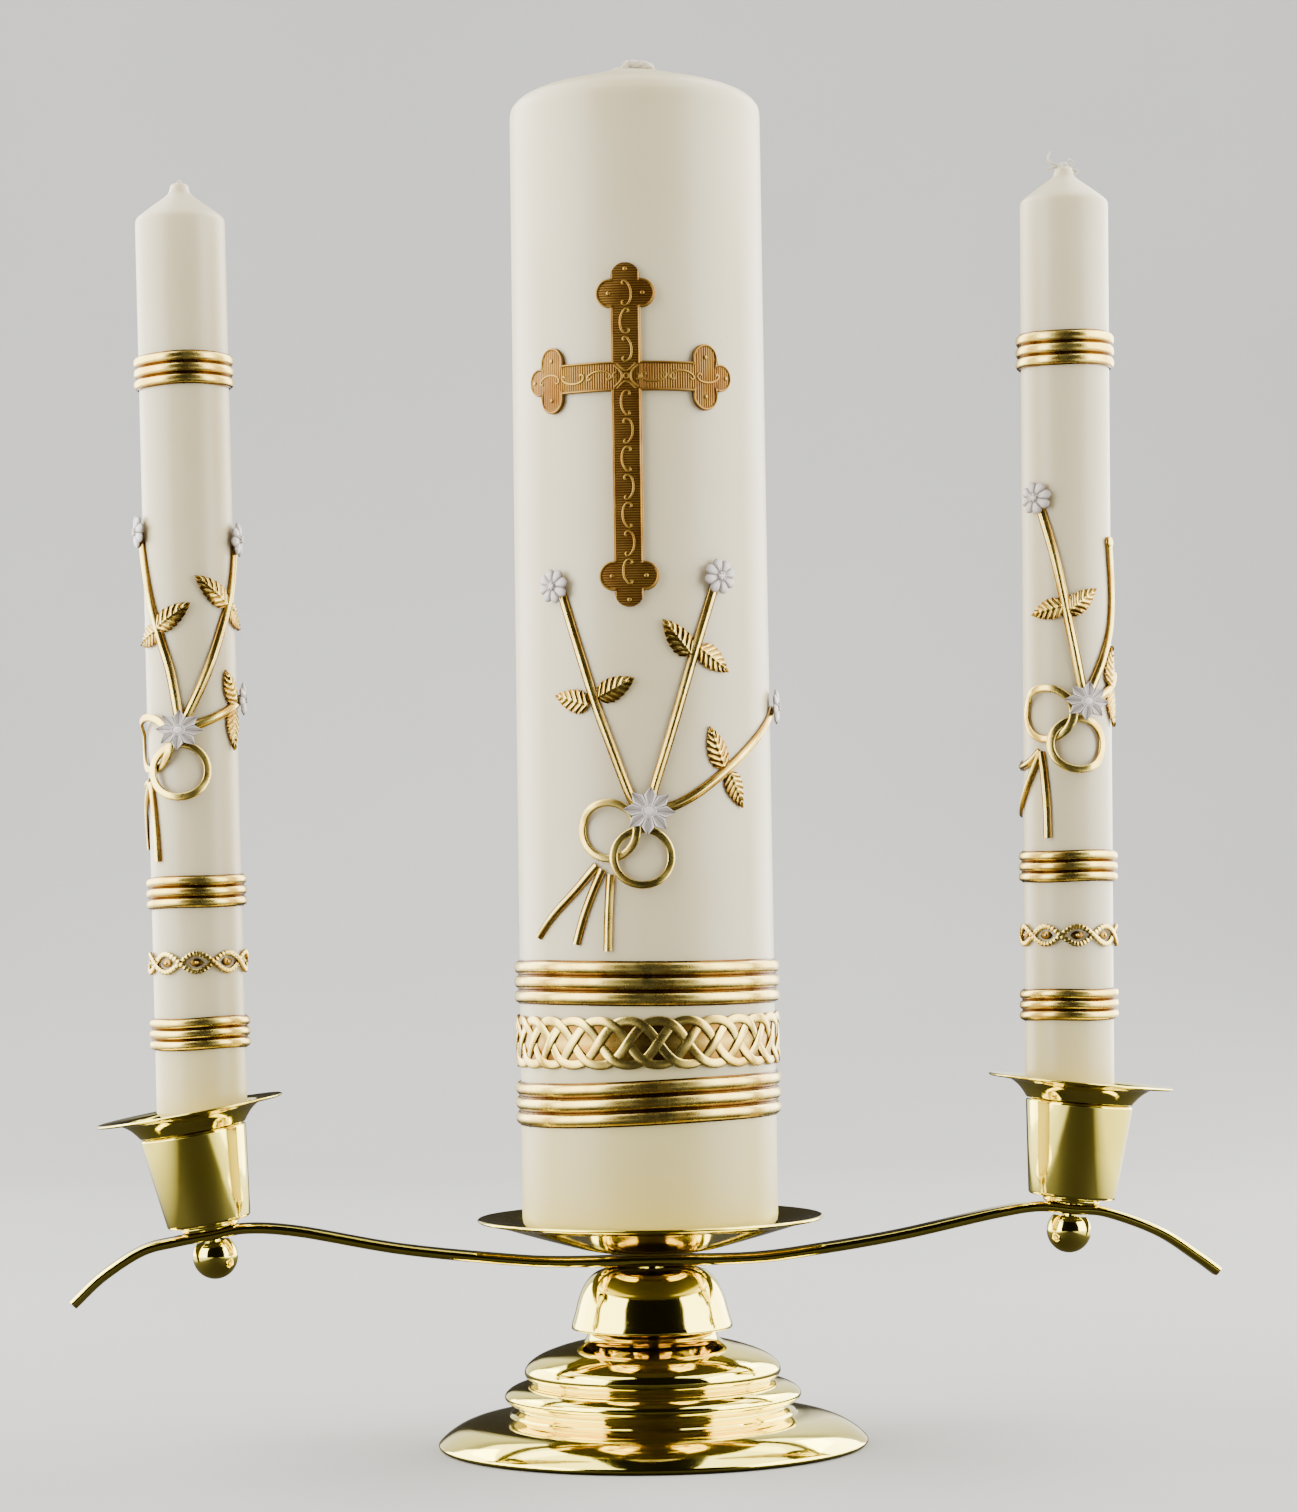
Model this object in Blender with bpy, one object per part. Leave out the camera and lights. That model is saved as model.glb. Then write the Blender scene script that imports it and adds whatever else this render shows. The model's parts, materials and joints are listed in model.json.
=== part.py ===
"""Unity candle: a pillar and two tapers with pressed trims on a brass three-way holder."""

import math

import bmesh
import bpy
from mathutils import Matrix, Vector

MM = 0.001

# Stand, in millimetres
FOOT_R = 54.0
FOOT_SEGS = 32
BELL_TOP_Z = 44.6
ROD_R = 3.0
FIT = 0.3
ARM_TIP_X = 144.5
ARM_WIDTH = 8.0
ARM_THICK = 2.6
ARM_TOP_Z = 47.5
CUP_SEAT = 1.8
SCREW_R = 2.0
PAN_R = 23.5
BALL_R = 5.6
BALL_DROP = 8.5

# Candles, in millimetres
PILLAR_R = 31.8
PILLAR_Z0 = 54.8
PILLAR_TOP = 346.0
TAPER_R = 11.2
BORE_R = 1.6
TAPER_BORE_R = 1.0

# Trims: heights off the wax, in millimetres
SKIN = 0.25
STEM_H = 1.35
RING_WIRE = 0.9
RING_LOW = 0.75
RING_HIGH = 1.8
PETAL_LOW = 2.45

# One end of the arm each: cup foot centre, its tilt, cup height and radii, candle axis at z 0 and lean
SIDES = {
    "left": {"x": -110.0, "z": 57.75, "tilt": -9.5, "high": 23.0, "r0": 10.4, "r1": 13.2,
             "axis_x": -110.26, "lean": -0.84, "shoulder": 308.5},
    "right": {"x": 106.95, "z": 59.75, "tilt": 5.8, "high": 23.9, "r0": 11.0, "r1": 13.5,
              "axis_x": 105.95, "lean": 0.69, "shoulder": 312.8},
}


def clear_scene():
    for obj in list(bpy.data.objects):
        bpy.data.objects.remove(obj, do_unlink=True)


def material(name, color, metallic, roughness):
    mat = bpy.data.materials.new(name)
    mat.use_nodes = True
    shader = mat.node_tree.nodes["Principled BSDF"]
    shader.inputs["Base Color"].default_value = (*color, 1.0)
    shader.inputs["Metallic"].default_value = metallic
    shader.inputs["Roughness"].default_value = roughness
    return mat


def finish(name, bm, mat, place=None, sharp=35.0):
    """Turn a millimetre bmesh into a named object in metres."""
    bmesh.ops.remove_doubles(bm, verts=bm.verts, dist=0.0001)
    bmesh.ops.recalc_face_normals(bm, faces=bm.faces)
    if bm.calc_volume(signed=True) < 0:
        bmesh.ops.reverse_faces(bm, faces=bm.faces)
    bmesh.ops.scale(bm, vec=(MM, MM, MM), verts=bm.verts)
    mesh = bpy.data.meshes.new(name)
    bm.to_mesh(mesh)
    bm.free()
    mesh.shade_smooth()
    mesh.set_sharp_from_angle(angle=math.radians(sharp))
    mesh.materials.append(mat)
    obj = bpy.data.objects.new(name, mesh)
    bpy.context.scene.collection.objects.link(obj)
    if place is not None:
        obj.matrix_world = place
    return obj


def combine(base, others, operation):
    """Apply an exact Boolean with each of the others and remove them."""
    for other in others:
        modifier = base.modifiers.new("join", "BOOLEAN")
        modifier.operation = operation
        modifier.solver = "EXACT"
        modifier.object = other
        bpy.context.view_layer.update()
        graph = bpy.context.evaluated_depsgraph_get()
        result = bpy.data.meshes.new_from_object(base.evaluated_get(graph))
        base.modifiers.clear()
        base.data = result
        bpy.data.objects.remove(other, do_unlink=True)
    base.data.name = base.name
    return base


def placed(x, z, tilt):
    """Frame at (x, 0, z) millimetres, leaning by tilt degrees towards +X."""
    turn = Matrix.Rotation(math.radians(tilt), 4, "Y")
    return Matrix.Translation((x * MM, 0.0, z * MM)) @ turn


def lathe(profile, segs):
    """Spin a closed outline of (radius, height) points about Z; radius 0 lies on the axis."""
    bm = bmesh.new()
    rings = []
    for radius, height in profile:
        if radius < 1e-6:
            rings.append([bm.verts.new((0.0, 0.0, height))])
            continue
        ring = []
        for k in range(segs):
            angle = math.tau * k / segs
            ring.append(bm.verts.new((radius * math.cos(angle), radius * math.sin(angle), height)))
        rings.append(ring)
    open_ended = profile[0][0] < 1e-6 and profile[-1][0] < 1e-6
    count = len(rings) - 1 if open_ended else len(rings)
    for i in range(count):
        low = rings[i]
        high = rings[(i + 1) % len(rings)]
        for k in range(segs):
            n = (k + 1) % segs
            corners = [low[k % len(low)], low[n % len(low)], high[n % len(high)], high[k % len(high)]]
            unique = list(dict.fromkeys(corners))
            if len(unique) > 2:
                bm.faces.new(unique)
    return bm


def on_wax(u, v, w, radius):
    """Point w off a candle's wax, u along its girth from the front and v up."""
    angle = u / radius
    reach = radius + w
    return Vector((reach * math.sin(angle), -reach * math.cos(angle), v))


def around(degrees, radius):
    return math.radians(degrees) * radius


def smooth_path(points, steps):
    """Catmull-Rom curve through the points, with steps pieces between neighbours."""
    pts = [Vector(p) for p in points]
    pts = [2 * pts[0] - pts[1]] + pts + [2 * pts[-1] - pts[-2]]
    out = []
    for i in range(1, len(pts) - 2):
        a, b, c, d = pts[i - 1:i + 3]
        for k in range(steps):
            t = k / steps
            out.append(0.5 * (2 * b + (c - a) * t + (2 * a - 5 * b + 4 * c - d) * t * t
                              + (3 * b - a - 3 * c + d) * t * t * t))
    out.append(pts[-2])
    return out


def sweep(path, section, closed, radius):
    """Run a section of (across, up) points along a path of (u, v, w) on a candle."""
    bm = bmesh.new()
    rows = []
    count = len(path)
    for i, point in enumerate(path):
        before = path[(i - 1) % count] if closed or i > 0 else point
        after = path[(i + 1) % count] if closed or i < count - 1 else point
        girth = math.tau * radius
        ahead = (after[0] - before[0] + girth / 2) % girth - girth / 2
        run = Vector((ahead, after[1] - before[1])).normalized()
        row = []
        for across, up in section:
            u = point[0] - run.y * across
            v = point[1] + run.x * across
            row.append(bm.verts.new(on_wax(u, v, point[2] + up, radius)))
        rows.append(row)
    size = len(section)
    for i in range(count if closed else count - 1):
        row = rows[i]
        following = rows[(i + 1) % count]
        for k in range(size):
            n = (k + 1) % size
            bm.faces.new((row[k], row[n], following[n], following[k]))
    if not closed:
        bm.faces.new(rows[0])
        bm.faces.new(rows[-1])
    return bm


def wrap_solid(outline, low, high, radius, centre, cut):
    """A flat outline thickened from low to high off the wax and bent round the candle."""
    bm = bmesh.new()
    face = bm.faces.new([bm.verts.new((x, y, low)) for x, y in outline])
    grown = bmesh.ops.extrude_face_region(bm, geom=[face])
    top = [g for g in grown["geom"] if isinstance(g, bmesh.types.BMVert)]
    bmesh.ops.translate(bm, vec=(0, 0, high - low), verts=top)
    bmesh.ops.triangulate(bm, faces=bm.faces)
    reach = max(abs(x) for x, _ in outline)
    for k in range(-int(reach / cut), int(reach / cut) + 1):
        everything = list(bm.verts) + list(bm.edges) + list(bm.faces)
        bmesh.ops.bisect_plane(bm, geom=everything, plane_co=(k * cut + 0.013, 0, 0), plane_no=(1, 0, 0),
                               dist=0.0005)
    for vert in bm.verts:
        vert.co = on_wax(centre[0] + vert.co.x, centre[1] + vert.co.y, vert.co.z, radius)
    return bm


def flower(centre, size, low, radius, stalk):
    """Eight-pointed flower with a domed button; a stalk runs down to the wax when asked."""
    bm = bmesh.new()
    u0, v0 = centre

    def spot(angle, reach, height):
        u = u0 + reach * math.cos(angle)
        v = v0 + reach * math.sin(angle)
        return bm.verts.new(on_wax(u, v, height, radius))

    points = 16
    notch = 0.62
    tops = []
    for height in (low, low + 0.55):
        ring = []
        for k in range(points):
            reach = size / 2 if k % 2 == 0 else size / 2 * notch
            ring.append(spot(math.tau * k / points, reach, height))
        tops.append(ring)
    rings = tops
    if stalk:
        foot = [spot(math.tau * k / points, 1.25, low) for k in range(points)]
        base = [spot(math.tau * k / points, 1.25, SKIN) for k in range(points)]
        rings = [base, foot] + tops
    for below, above in zip(rings, rings[1:]):
        for k in range(points):
            n = (k + 1) % points
            bm.faces.new((below[k], below[n], above[n], above[k]))
    bm.faces.new(rings[0])
    cap = spot(0.0, 0.0, low + 1.3)
    for k in range(points):
        bm.faces.new((tops[-1][k], tops[-1][(k + 1) % points], cap))
    return bm


def leaf(base, tip, width, radius, low=SKIN):
    """Serrated leaf with a raised midrib, from base to tip on the wax."""
    bm = bmesh.new()
    run = Vector((tip[0] - base[0], tip[1] - base[1]))
    side = Vector((-run.y, run.x)).normalized() * width / 2

    def spot(along, across, height):
        u = base[0] + run.x * along + side.x * across
        v = base[1] + run.y * along + side.y * across
        return bm.verts.new(on_wax(u, v, height, radius))

    stations = ((0.14, 0.4), (0.34, 1.0), (0.5, 0.72), (0.68, 0.8))
    start = [spot(0.0, 0.0, low), spot(0.0, 0.0, low + 0.35)]
    end = [spot(1.0, 0.0, low), spot(1.0, 0.0, low + 0.35)]
    for level, edge_h, rib_h in ((0, low, low), (1, low + 0.35, low + 0.95)):
        left = [spot(a, c, edge_h) for a, c in stations]
        middle = [spot(a, 0.0, rib_h) for a, _ in stations]
        right = [spot(a, -c, edge_h) for a, c in stations]
        for edge in (left, right):
            bm.faces.new((start[level], edge[0], middle[0]))
            bm.faces.new((end[level], edge[-1], middle[-1]))
            for i in range(len(stations) - 1):
                bm.faces.new((edge[i], edge[i + 1], middle[i + 1], middle[i]))
        if level == 0:
            bottom = (left, right)
        else:
            for lower, upper in zip(bottom, (left, right)):
                bm.faces.new((start[0], start[1], upper[0], lower[0]))
                bm.faces.new((end[0], end[1], upper[-1], lower[-1]))
                for i in range(len(stations) - 1):
                    bm.faces.new((lower[i], lower[i + 1], upper[i + 1], upper[i]))
    return bm


def stem(points, radius):
    half = 0.95
    section = ((-half, SKIN), (half, SKIN), (half * 0.8, 0.95), (0.0, STEM_H), (-half * 0.8, 0.95))
    path = [(p[0], p[1], 0.0) for p in smooth_path([(u, v, 0.0) for u, v in points], 3)]
    return sweep(path, section, False, radius)


def ring_pair(centre_a, centre_b, reach, radius):
    """Two interlocked rings: each passes over the other once and under it once."""
    gap = Vector((centre_b[0] - centre_a[0], centre_b[1] - centre_a[1]))
    bearing = math.atan2(gap.y, gap.x)
    crossing = math.sin(math.acos(gap.length / 2 / reach))
    middle = (RING_LOW + RING_HIGH) / 2
    swing = (RING_HIGH - RING_LOW) / 2
    half = RING_WIRE / 2
    section = [(half * 1.3 * math.cos(a), half * math.sin(a)) for a in (k * math.tau / 5 for k in range(5))]
    rings = []
    for centre, over in ((centre_a, 1), (centre_b, -1)):
        path = []
        for k in range(24):
            angle = math.tau * k / 24
            rise = max(-1.0, min(1.0, 1.3 * math.sin(angle - bearing) / crossing))
            path.append((centre[0] + reach * math.cos(angle), centre[1] + reach * math.sin(angle),
                         middle + over * swing * rise))
        rings.append(sweep(path, section, True, radius))
    return rings


def ribbed(radius, centre_z, height, out, segs):
    """Band of three half-round ribs round a candle."""
    inner = radius + SKIN + 0.15
    pitch = height / 3
    low = centre_z - height / 2
    profile = [(inner, low)]
    for k in range(3):
        profile.append((radius + out, low + pitch * (k + 0.5)))
        if k < 2:
            profile.append((radius + out * 0.55, low + pitch * (k + 1)))
    profile.append((inner, low + height))
    return lathe(profile, segs)


def weave(name, paths, closed, half_width, radius, mat, place):
    """Strands that run round a candle, over and under each other, fused where they cross."""
    section = ((-half_width, -0.4), (half_width, -0.4), (0.0, 0.5))
    pieces = [finish(name, sweep(path, section, closed, radius), mat, place) for path in paths]
    return combine(pieces[0], pieces[1:], "UNION")


def plait_strands(strands, half_height, middle_z, radius):
    """Each strand swings from edge to edge and back seven times round the candle."""
    turns = 7
    steps = turns * 7
    crossings = ((0, 1), (45, -1), (135, 1), (180, -1), (225, 1), (315, -1), (360, 1))
    for k in range(strands):
        path = []
        for i in range(steps):
            t = (i + 0.23 * k) / steps
            phase = (turns * t + k / strands) * 360
            v = middle_z + half_height * math.sin(math.radians(phase))
            phase %= 360
            for (a, over_a), (b, over_b) in zip(crossings, crossings[1:]):
                if a <= phase <= b:
                    blend = 0.5 - 0.5 * math.cos(math.pi * (phase - a) / (b - a))
                    lift = over_a + (over_b - over_a) * blend
            path.append((math.tau * radius * t, v, 0.95 + 0.22 * lift))
        yield path


def twist_strands(crossings, half_height, middle_z, radius):
    """Two strands that cross and trade places round the candle; their ends overlap."""
    girth = math.tau * radius
    steps = crossings * 3
    overlap = 0.4
    for k in (0, 1):
        path = []
        for i in range(steps + 1):
            u = -overlap + i / steps * (girth + 2 * overlap)
            phase = u / girth * crossings * math.pi + k * math.pi
            path.append((u, middle_z + half_height * math.cos(phase), 0.9 + 0.25 * math.sin(phase)))
        yield path


# ---------------------------------------------------------------- stand

def base_foot(brass):
    """Spun foot: a sloping flange, a small ring and two round steps below a short neck."""
    outer = [(50.0, 0.0), (53.0, 0.0), (FOOT_R, 1.0), (51.8, 3.2), (48.5, 5.4), (44.5, 6.9), (40.0, 7.8),
             (35.9, 8.2), (35.4, 8.9), (36.6, 9.7), (37.5, 11.7), (36.6, 13.5), (33.5, 14.7), (30.6, 15.5),
             (31.5, 16.9), (32.2, 18.5), (31.2, 20.7), (28.0, 22.9), (22.7, 24.8), (16.6, 26.4), (15.6, 29.0),
             (ROD_R + FIT, 29.0)]
    inner = [(ROD_R + FIT, 27.8), (14.2, 27.8), (15.6, 25.2), (22.2, 23.5), (27.2, 21.8), (30.0, 19.4),
             (28.8, 16.4), (29.4, 14.4), (33.0, 13.5), (35.6, 12.2), (34.2, 9.4), (34.4, 7.0), (39.8, 6.5),
             (47.6, 4.3), (50.6, 2.2)]
    return finish("base_foot", lathe(outer + inner, FOOT_SEGS), brass)


def base_bell(brass):
    outer = [(18.9, 29.3), (20.2, 29.3), (20.1, 30.4), (19.1, 33.6), (18.2, 37.4), (16.6, 40.8), (14.2, 43.4),
             (10.4, BELL_TOP_Z), (ROD_R + FIT, BELL_TOP_Z)]
    inner = [(ROD_R + FIT, 43.4), (9.6, 43.4), (13.2, 42.2), (15.4, 39.8), (17.0, 36.6)]
    return finish("base_bell", lathe(outer + inner, 28), brass)


def spacer_sleeve(brass):
    low = 29.3
    high = BELL_TOP_Z - 1.5
    profile = [(ROD_R + FIT, low), (6.0, low), (6.0, high), (ROD_R + FIT, high)]
    return finish("spacer_sleeve", lathe(profile, 20), brass)


def pillar_plate(brass):
    under = [(ROD_R + FIT, 47.8), (10.0, 47.9), (17.0, 49.0), (28.0, 52.2), (38.5, 55.3), (43.1, 56.2),
             (43.5, 56.7)]
    over = [(43.1, 57.2), (38.3, 56.4), (28.0, 53.4), (17.0, 50.2), (10.0, 49.2), (ROD_R + FIT, 49.1)]
    return finish("pillar_plate", lathe(under + over, FOOT_SEGS), brass)


def tie_rod(brass):
    profile = [(0.0, 18.0), (ROD_R - 0.6, 18.0), (ROD_R, 18.8), (ROD_R, 49.5), (7.0, 49.5), (7.0, 50.4),
               (5.6, 51.2), (0.0, 51.4)]
    return finish("tie_rod", lathe(profile, 20), brass)


def base_washer(brass):
    profile = [(ROD_R + FIT, 26.3), (9.0, 26.3), (9.0, 27.5), (ROD_R + FIT, 27.5)]
    return finish("base_washer", lathe(profile, 24), brass)


def hexagon(bm, reach, height):
    turns = [k * math.tau / 6 for k in range(6)]
    return [bm.verts.new((reach * math.cos(t), reach * math.sin(t), height)) for t in turns]


def base_nut(brass):
    bm = bmesh.new()
    bore = (ROD_R + FIT) / math.cos(math.pi / 6)
    rings = [hexagon(bm, 6.2, 22.0), hexagon(bm, 6.2, 26.0), hexagon(bm, bore, 26.0), hexagon(bm, bore, 22.0)]
    for ring, following in zip(rings, rings[1:] + rings[:1]):
        for k in range(6):
            n = (k + 1) % 6
            bm.faces.new((ring[k], ring[n], following[n], following[k]))
    return finish("base_nut", bm, brass)


def arm(brass):
    """Bent flat bar, level at the middle and square to each cup where the cup sits."""
    top = [(-ARM_TIP_X, 39.3), (-137.1, 46.1), (-127.2, 52.3)]
    for side in ("left", "right"):
        data = SIDES[side]
        turn = math.radians(data["tilt"])
        seat = (data["x"] - CUP_SEAT * math.sin(turn), data["z"] - CUP_SEAT * math.cos(turn))
        for along in (-9.0, 0.0, 9.0):
            top.append((seat[0] + along * math.cos(turn), seat[1] - along * math.sin(turn)))
        if side == "left":
            top += [(-87.6, 56.4), (-62.8, 51.6), (-37.9, 48.6), (-22.9, ARM_TOP_Z), (0.0, ARM_TOP_Z),
                    (24.9, ARM_TOP_Z), (42.7, 49.4), (63.0, 52.5), (86.0, 57.2)]
    top += [(129.5, 51.8), (139.6, 45.1), (ARM_TIP_X, 41.4)]
    path = smooth_path([(x, 0.0, z) for x, z in top], 2)
    half_w = ARM_WIDTH / 2
    half_t = ARM_THICK / 2
    section = [(-half_w, -0.5), (-half_w + 0.8, -half_t), (half_w - 0.8, -half_t), (half_w, -0.5),
               (half_w, 0.5), (half_w - 0.8, half_t), (-half_w + 0.8, half_t), (-half_w, 0.5)]
    bm = bmesh.new()
    rows = []
    for i, point in enumerate(path):
        run = (path[min(i + 1, len(path) - 1)] - path[max(i - 1, 0)]).normalized()
        up = Vector((-run.z, 0.0, run.x))
        centre = point - up * half_t
        rows.append([bm.verts.new(centre + Vector((0.0, y, 0.0)) + up * t) for y, t in section])
    for row, following in zip(rows, rows[1:]):
        for k in range(len(section)):
            n = (k + 1) % len(section)
            bm.faces.new((row[k], row[n], following[n], following[k]))
    bm.faces.new(rows[0])
    bm.faces.new(rows[-1])
    bar = finish("arm", bm, brass)
    middle = lathe([(0.0, 40.0), (ROD_R + FIT, 40.0), (ROD_R + FIT, 52.0), (0.0, 52.0)], 18)
    drills = [finish("drill", middle, brass)]
    for data in SIDES.values():
        hole = lathe([(0.0, -8.0), (SCREW_R + FIT, -8.0), (SCREW_R + FIT, 4.0), (0.0, 4.0)], 14)
        drills.append(finish("drill", hole, brass, placed(data["x"], data["z"], data["tilt"])))
    return combine(bar, drills, "DIFFERENCE")


def cup(side, data, brass):
    r0 = data["r0"]
    r1 = data["r1"]
    high = data["high"]
    profile = [(SCREW_R + FIT, -1.5), (7.0, -1.5), (7.4, -0.8), (7.0, -0.2), (r0 - 0.4, 0.0), (r0, 0.4),
               (r0 + 0.5 * (r1 - r0), high * 0.45), (r1, high - 0.4), (r1 - 0.2, high), (r1 - 1.1, high),
               (r0 + 0.5 * (r1 - r0) - 1.1, high * 0.45), (r0 - 1.2, 1.8), (SCREW_R + FIT, 1.2)]
    return finish(side + "_cup", lathe(profile, 24), brass, placed(data["x"], data["z"], data["tilt"]))


def drip_pan(side, data, brass):
    """Loose-fitting pan: a collar in the cup's mouth, a cone and a flat lip."""
    h = data["high"]
    r = data["r1"]
    collar = [(r - 2.5, h - 2.5), (r - 1.8, h - 2.5), (r - 1.8, h + FIT)]
    under = [(r + 0.2, h + FIT), (r + 2.2, h + 2.2), (r + 3.9, h + 4.4), (PAN_R - 0.6, h + 4.9),
             (PAN_R, h + 5.3)]
    over = [(PAN_R - 0.4, h + 5.7), (r + 3.5, h + 5.2), (r + 1.5, h + 2.5), (r - 0.9, h + 0.4),
            (r - 2.5, h - 0.2)]
    place = placed(data["x"], data["z"], data["tilt"])
    return finish(side + "_drip_pan", lathe(collar + under + over, 28), brass, place)


def cup_screw(side, data, brass):
    profile = [(0.0, -9.6), (SCREW_R, -9.6), (SCREW_R, 1.5), (4.2, 1.5), (4.2, 2.5), (3.0, 3.1), (0.0, 3.2)]
    return finish(side + "_cup_screw", lathe(profile, 16), brass, placed(data["x"], data["z"], data["tilt"]))


def ball_nut(side, data, brass):
    """Ball with a flat top and a blind hole; its origin is on its screw's axis."""
    profile = [(SCREW_R + FIT, 3.8)]
    start = math.asin(3.8 / BALL_R)
    steps = 8
    for k in range(steps + 1):
        angle = start - (start + math.pi / 2) * k / steps
        profile.append((BALL_R * math.cos(angle), BALL_R * math.sin(angle)))
    profile[-1] = (0.0, -BALL_R)
    bm = lathe([(0.0, -2.0), (SCREW_R + FIT, -2.0)] + profile, 18)
    frame = placed(data["x"], data["z"], data["tilt"])
    return finish(side + "_ball_nut", bm, brass, frame @ Matrix.Translation((0, 0, -BALL_DROP * MM)))


# ---------------------------------------------------------------- pillar candle

def pillar_wax(wax):
    bottom = PILLAR_Z0
    profile = [(BORE_R, bottom), (30.4, bottom), (PILLAR_R + 0.2, bottom + 1.3), (PILLAR_R - 0.1, 334.0),
               (31.3, 336.0), (29.6, 338.3), (26.0, 340.3), (21.6, 341.7), (10.6, 344.7),
               (5.0, PILLAR_TOP - 0.1), (BORE_R, PILLAR_TOP)]
    return finish("pillar_wax", lathe(profile, 44), wax)


def bent_rod(points, reach, sides):
    """Round rod through millimetre points in the X-Z plane."""
    path = [Vector(point) for point in points]
    bm = bmesh.new()
    rows = []
    for i, point in enumerate(path):
        run = (path[min(i + 1, len(path) - 1)] - path[max(i - 1, 0)]).normalized()
        out = Vector((run.z, 0.0, -run.x))
        rows.append([bm.verts.new(point + out * reach * math.cos(k * math.tau / sides)
                                  + Vector((0, reach, 0)) * math.sin(k * math.tau / sides))
                     for k in range(sides)])
    for row, following in zip(rows, rows[1:]):
        for k in range(sides):
            n = (k + 1) % sides
            bm.faces.new((row[k], row[n], following[n], following[k]))
    bm.faces.new(rows[0])
    bm.faces.new(rows[-1])
    return bm


def pillar_wick(cotton):
    top = PILLAR_TOP
    points = [(0, 0, PILLAR_Z0 + 1.0), (0, 0, top - 1.0), (0.2, 0, top + 0.6), (0.9, 0, top + 1.8),
              (2.2, 0, top + 2.4), (4.6, 0, top + 2.1)]
    return finish("pillar_wick", bent_rod(points, 1.15, 6), cotton)


def limb(length, half, lobe_scale):
    """Half outline of one limb of the cross, from its foot round to its tip, for +Y."""
    side_r = 3.15
    end_r = 3.9
    side_c = Vector((3.9 * lobe_scale, length - 7.6))
    end_c = Vector((0.0, length - end_r))
    gap = end_c - side_c
    bearing = math.degrees(math.atan2(gap.y, gap.x))
    spread = gap.length_squared
    bend_a = math.degrees(math.acos((spread + side_r ** 2 - end_r ** 2) / (2 * gap.length * side_r)))
    bend_b = math.degrees(math.acos((spread + end_r ** 2 - side_r ** 2) / (2 * gap.length * end_r)))
    points = [(half, half), (half * 0.92, length - 12.2)]
    for k in range(6):
        angle = math.radians(-105 + (bearing - bend_a + 105) * k / 5)
        points.append((side_c.x + side_r * math.cos(angle), side_c.y + side_r * math.sin(angle)))
    first = bearing - 180 + bend_b
    for k in range(1, 4):
        angle = math.radians(first + (90 - first) * k / 3)
        points.append((end_c.x + end_r * math.cos(angle), end_c.y + end_r * math.sin(angle)))
    return points


def cross(gold):
    half = 3.6
    reach = {"up": (28.0, 1.0), "right": (27.3, 1.25), "down": (56.6, 1.0), "left": (27.3, 1.25)}
    outline = []
    for name, quarter in (("up", 0), ("right", -1), ("down", -2), ("left", -3)):
        length, scale = reach[name]
        right_half = limb(length, half, scale)
        left_half = [(-x, y) for x, y in right_half[1:-1]]
        angle = quarter * math.pi / 2
        c = math.cos(angle)
        s = math.sin(angle)
        for x, y in left_half + list(reversed(right_half)):
            outline.append((x * c - y * s, x * s + y * c))
    bm = wrap_solid(outline, SKIN, 1.75, PILLAR_R, (-5.3, 264.4), 5.6)
    return finish("cross", bm, gold)


PILLAR_STEMS = {
    "left": [(-22.3, 209.9), (-18.0, 196.4), (-14.0, 183.9), (-10.2, 173.5), (-6.1, 162.4)],
    "middle": [(15.9, 212.0), (10.5, 196.6), (4.4, 177.4), (0.4, 165.0)],
    "right": [(43.0, 182.9), (33.5, 177.6), (27.2, 173.5), (18.0, 167.1), (10.7, 162.2), (5.4, 159.4)],
}
PILLAR_FLOWERS = {"left": (-24.9, 213.7, 8.4), "middle": (17.2, 215.4, 8.6), "right": (44.0, 184.3, 8.6)}
PILLAR_LEAVES = [
    ((-17.2, 184.5), (-26.0, 186.6)), ((-12.6, 186.4), (-4.5, 190.2)), ((8.4, 197.2), (2.7, 204.3)),
    ((12.6, 197.1), (19.5, 192.0)), ((17.4, 169.9), (14.4, 178.4)), ((20.4, 166.2), (23.8, 158.9)),
]


def pillar_trims(gold, enamel):
    cross(gold)
    finish("upper_band", ribbed(PILLAR_R, 116.0, 11.0, 1.5, 40), gold)
    finish("lower_band", ribbed(PILLAR_R, 87.0, 11.0, 1.5, 40), gold)
    weave("plait_band", plait_strands(4, 5.9, 101.5, PILLAR_R), True, 0.75, PILLAR_R, gold, None)
    for side, points in PILLAR_STEMS.items():
        finish("stem_" + side, stem(points, PILLAR_R), gold)
    for side, (u, v, size) in PILLAR_FLOWERS.items():
        finish("flower_" + side, flower((u, v), size, STEM_H + FIT, PILLAR_R, False), enamel)
    finish("flower_centre", flower((-1.4, 157.9), 11.0, PETAL_LOW, PILLAR_R, True), enamel)
    for k, (base, tip) in enumerate(PILLAR_LEAVES):
        finish("leaf_%d" % (k + 1), leaf(base, tip, 5.2, PILLAR_R), gold)
    rings = ring_pair((-11.1, 153.3), (-3.0, 146.7), 7.0, PILLAR_R)
    finish("ring_left", rings[0], gold)
    finish("ring_right", rings[1], gold)
    tails = [[(-12.9, 143.7), (-20.0, 138.5), (-28.0, 132.5), (-33.0, 127.0)],
             [(-12.9, 143.9), (-15.5, 138.0), (-18.8, 131.0), (-20.3, 125.7)],
             [(-12.9, 143.9), (-11.6, 138.5), (-11.4, 131.0), (-12.1, 123.9)]]
    ribbon("pillar_ribbon", tails, (-12.9, 143.8), PILLAR_R, gold, None)


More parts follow.
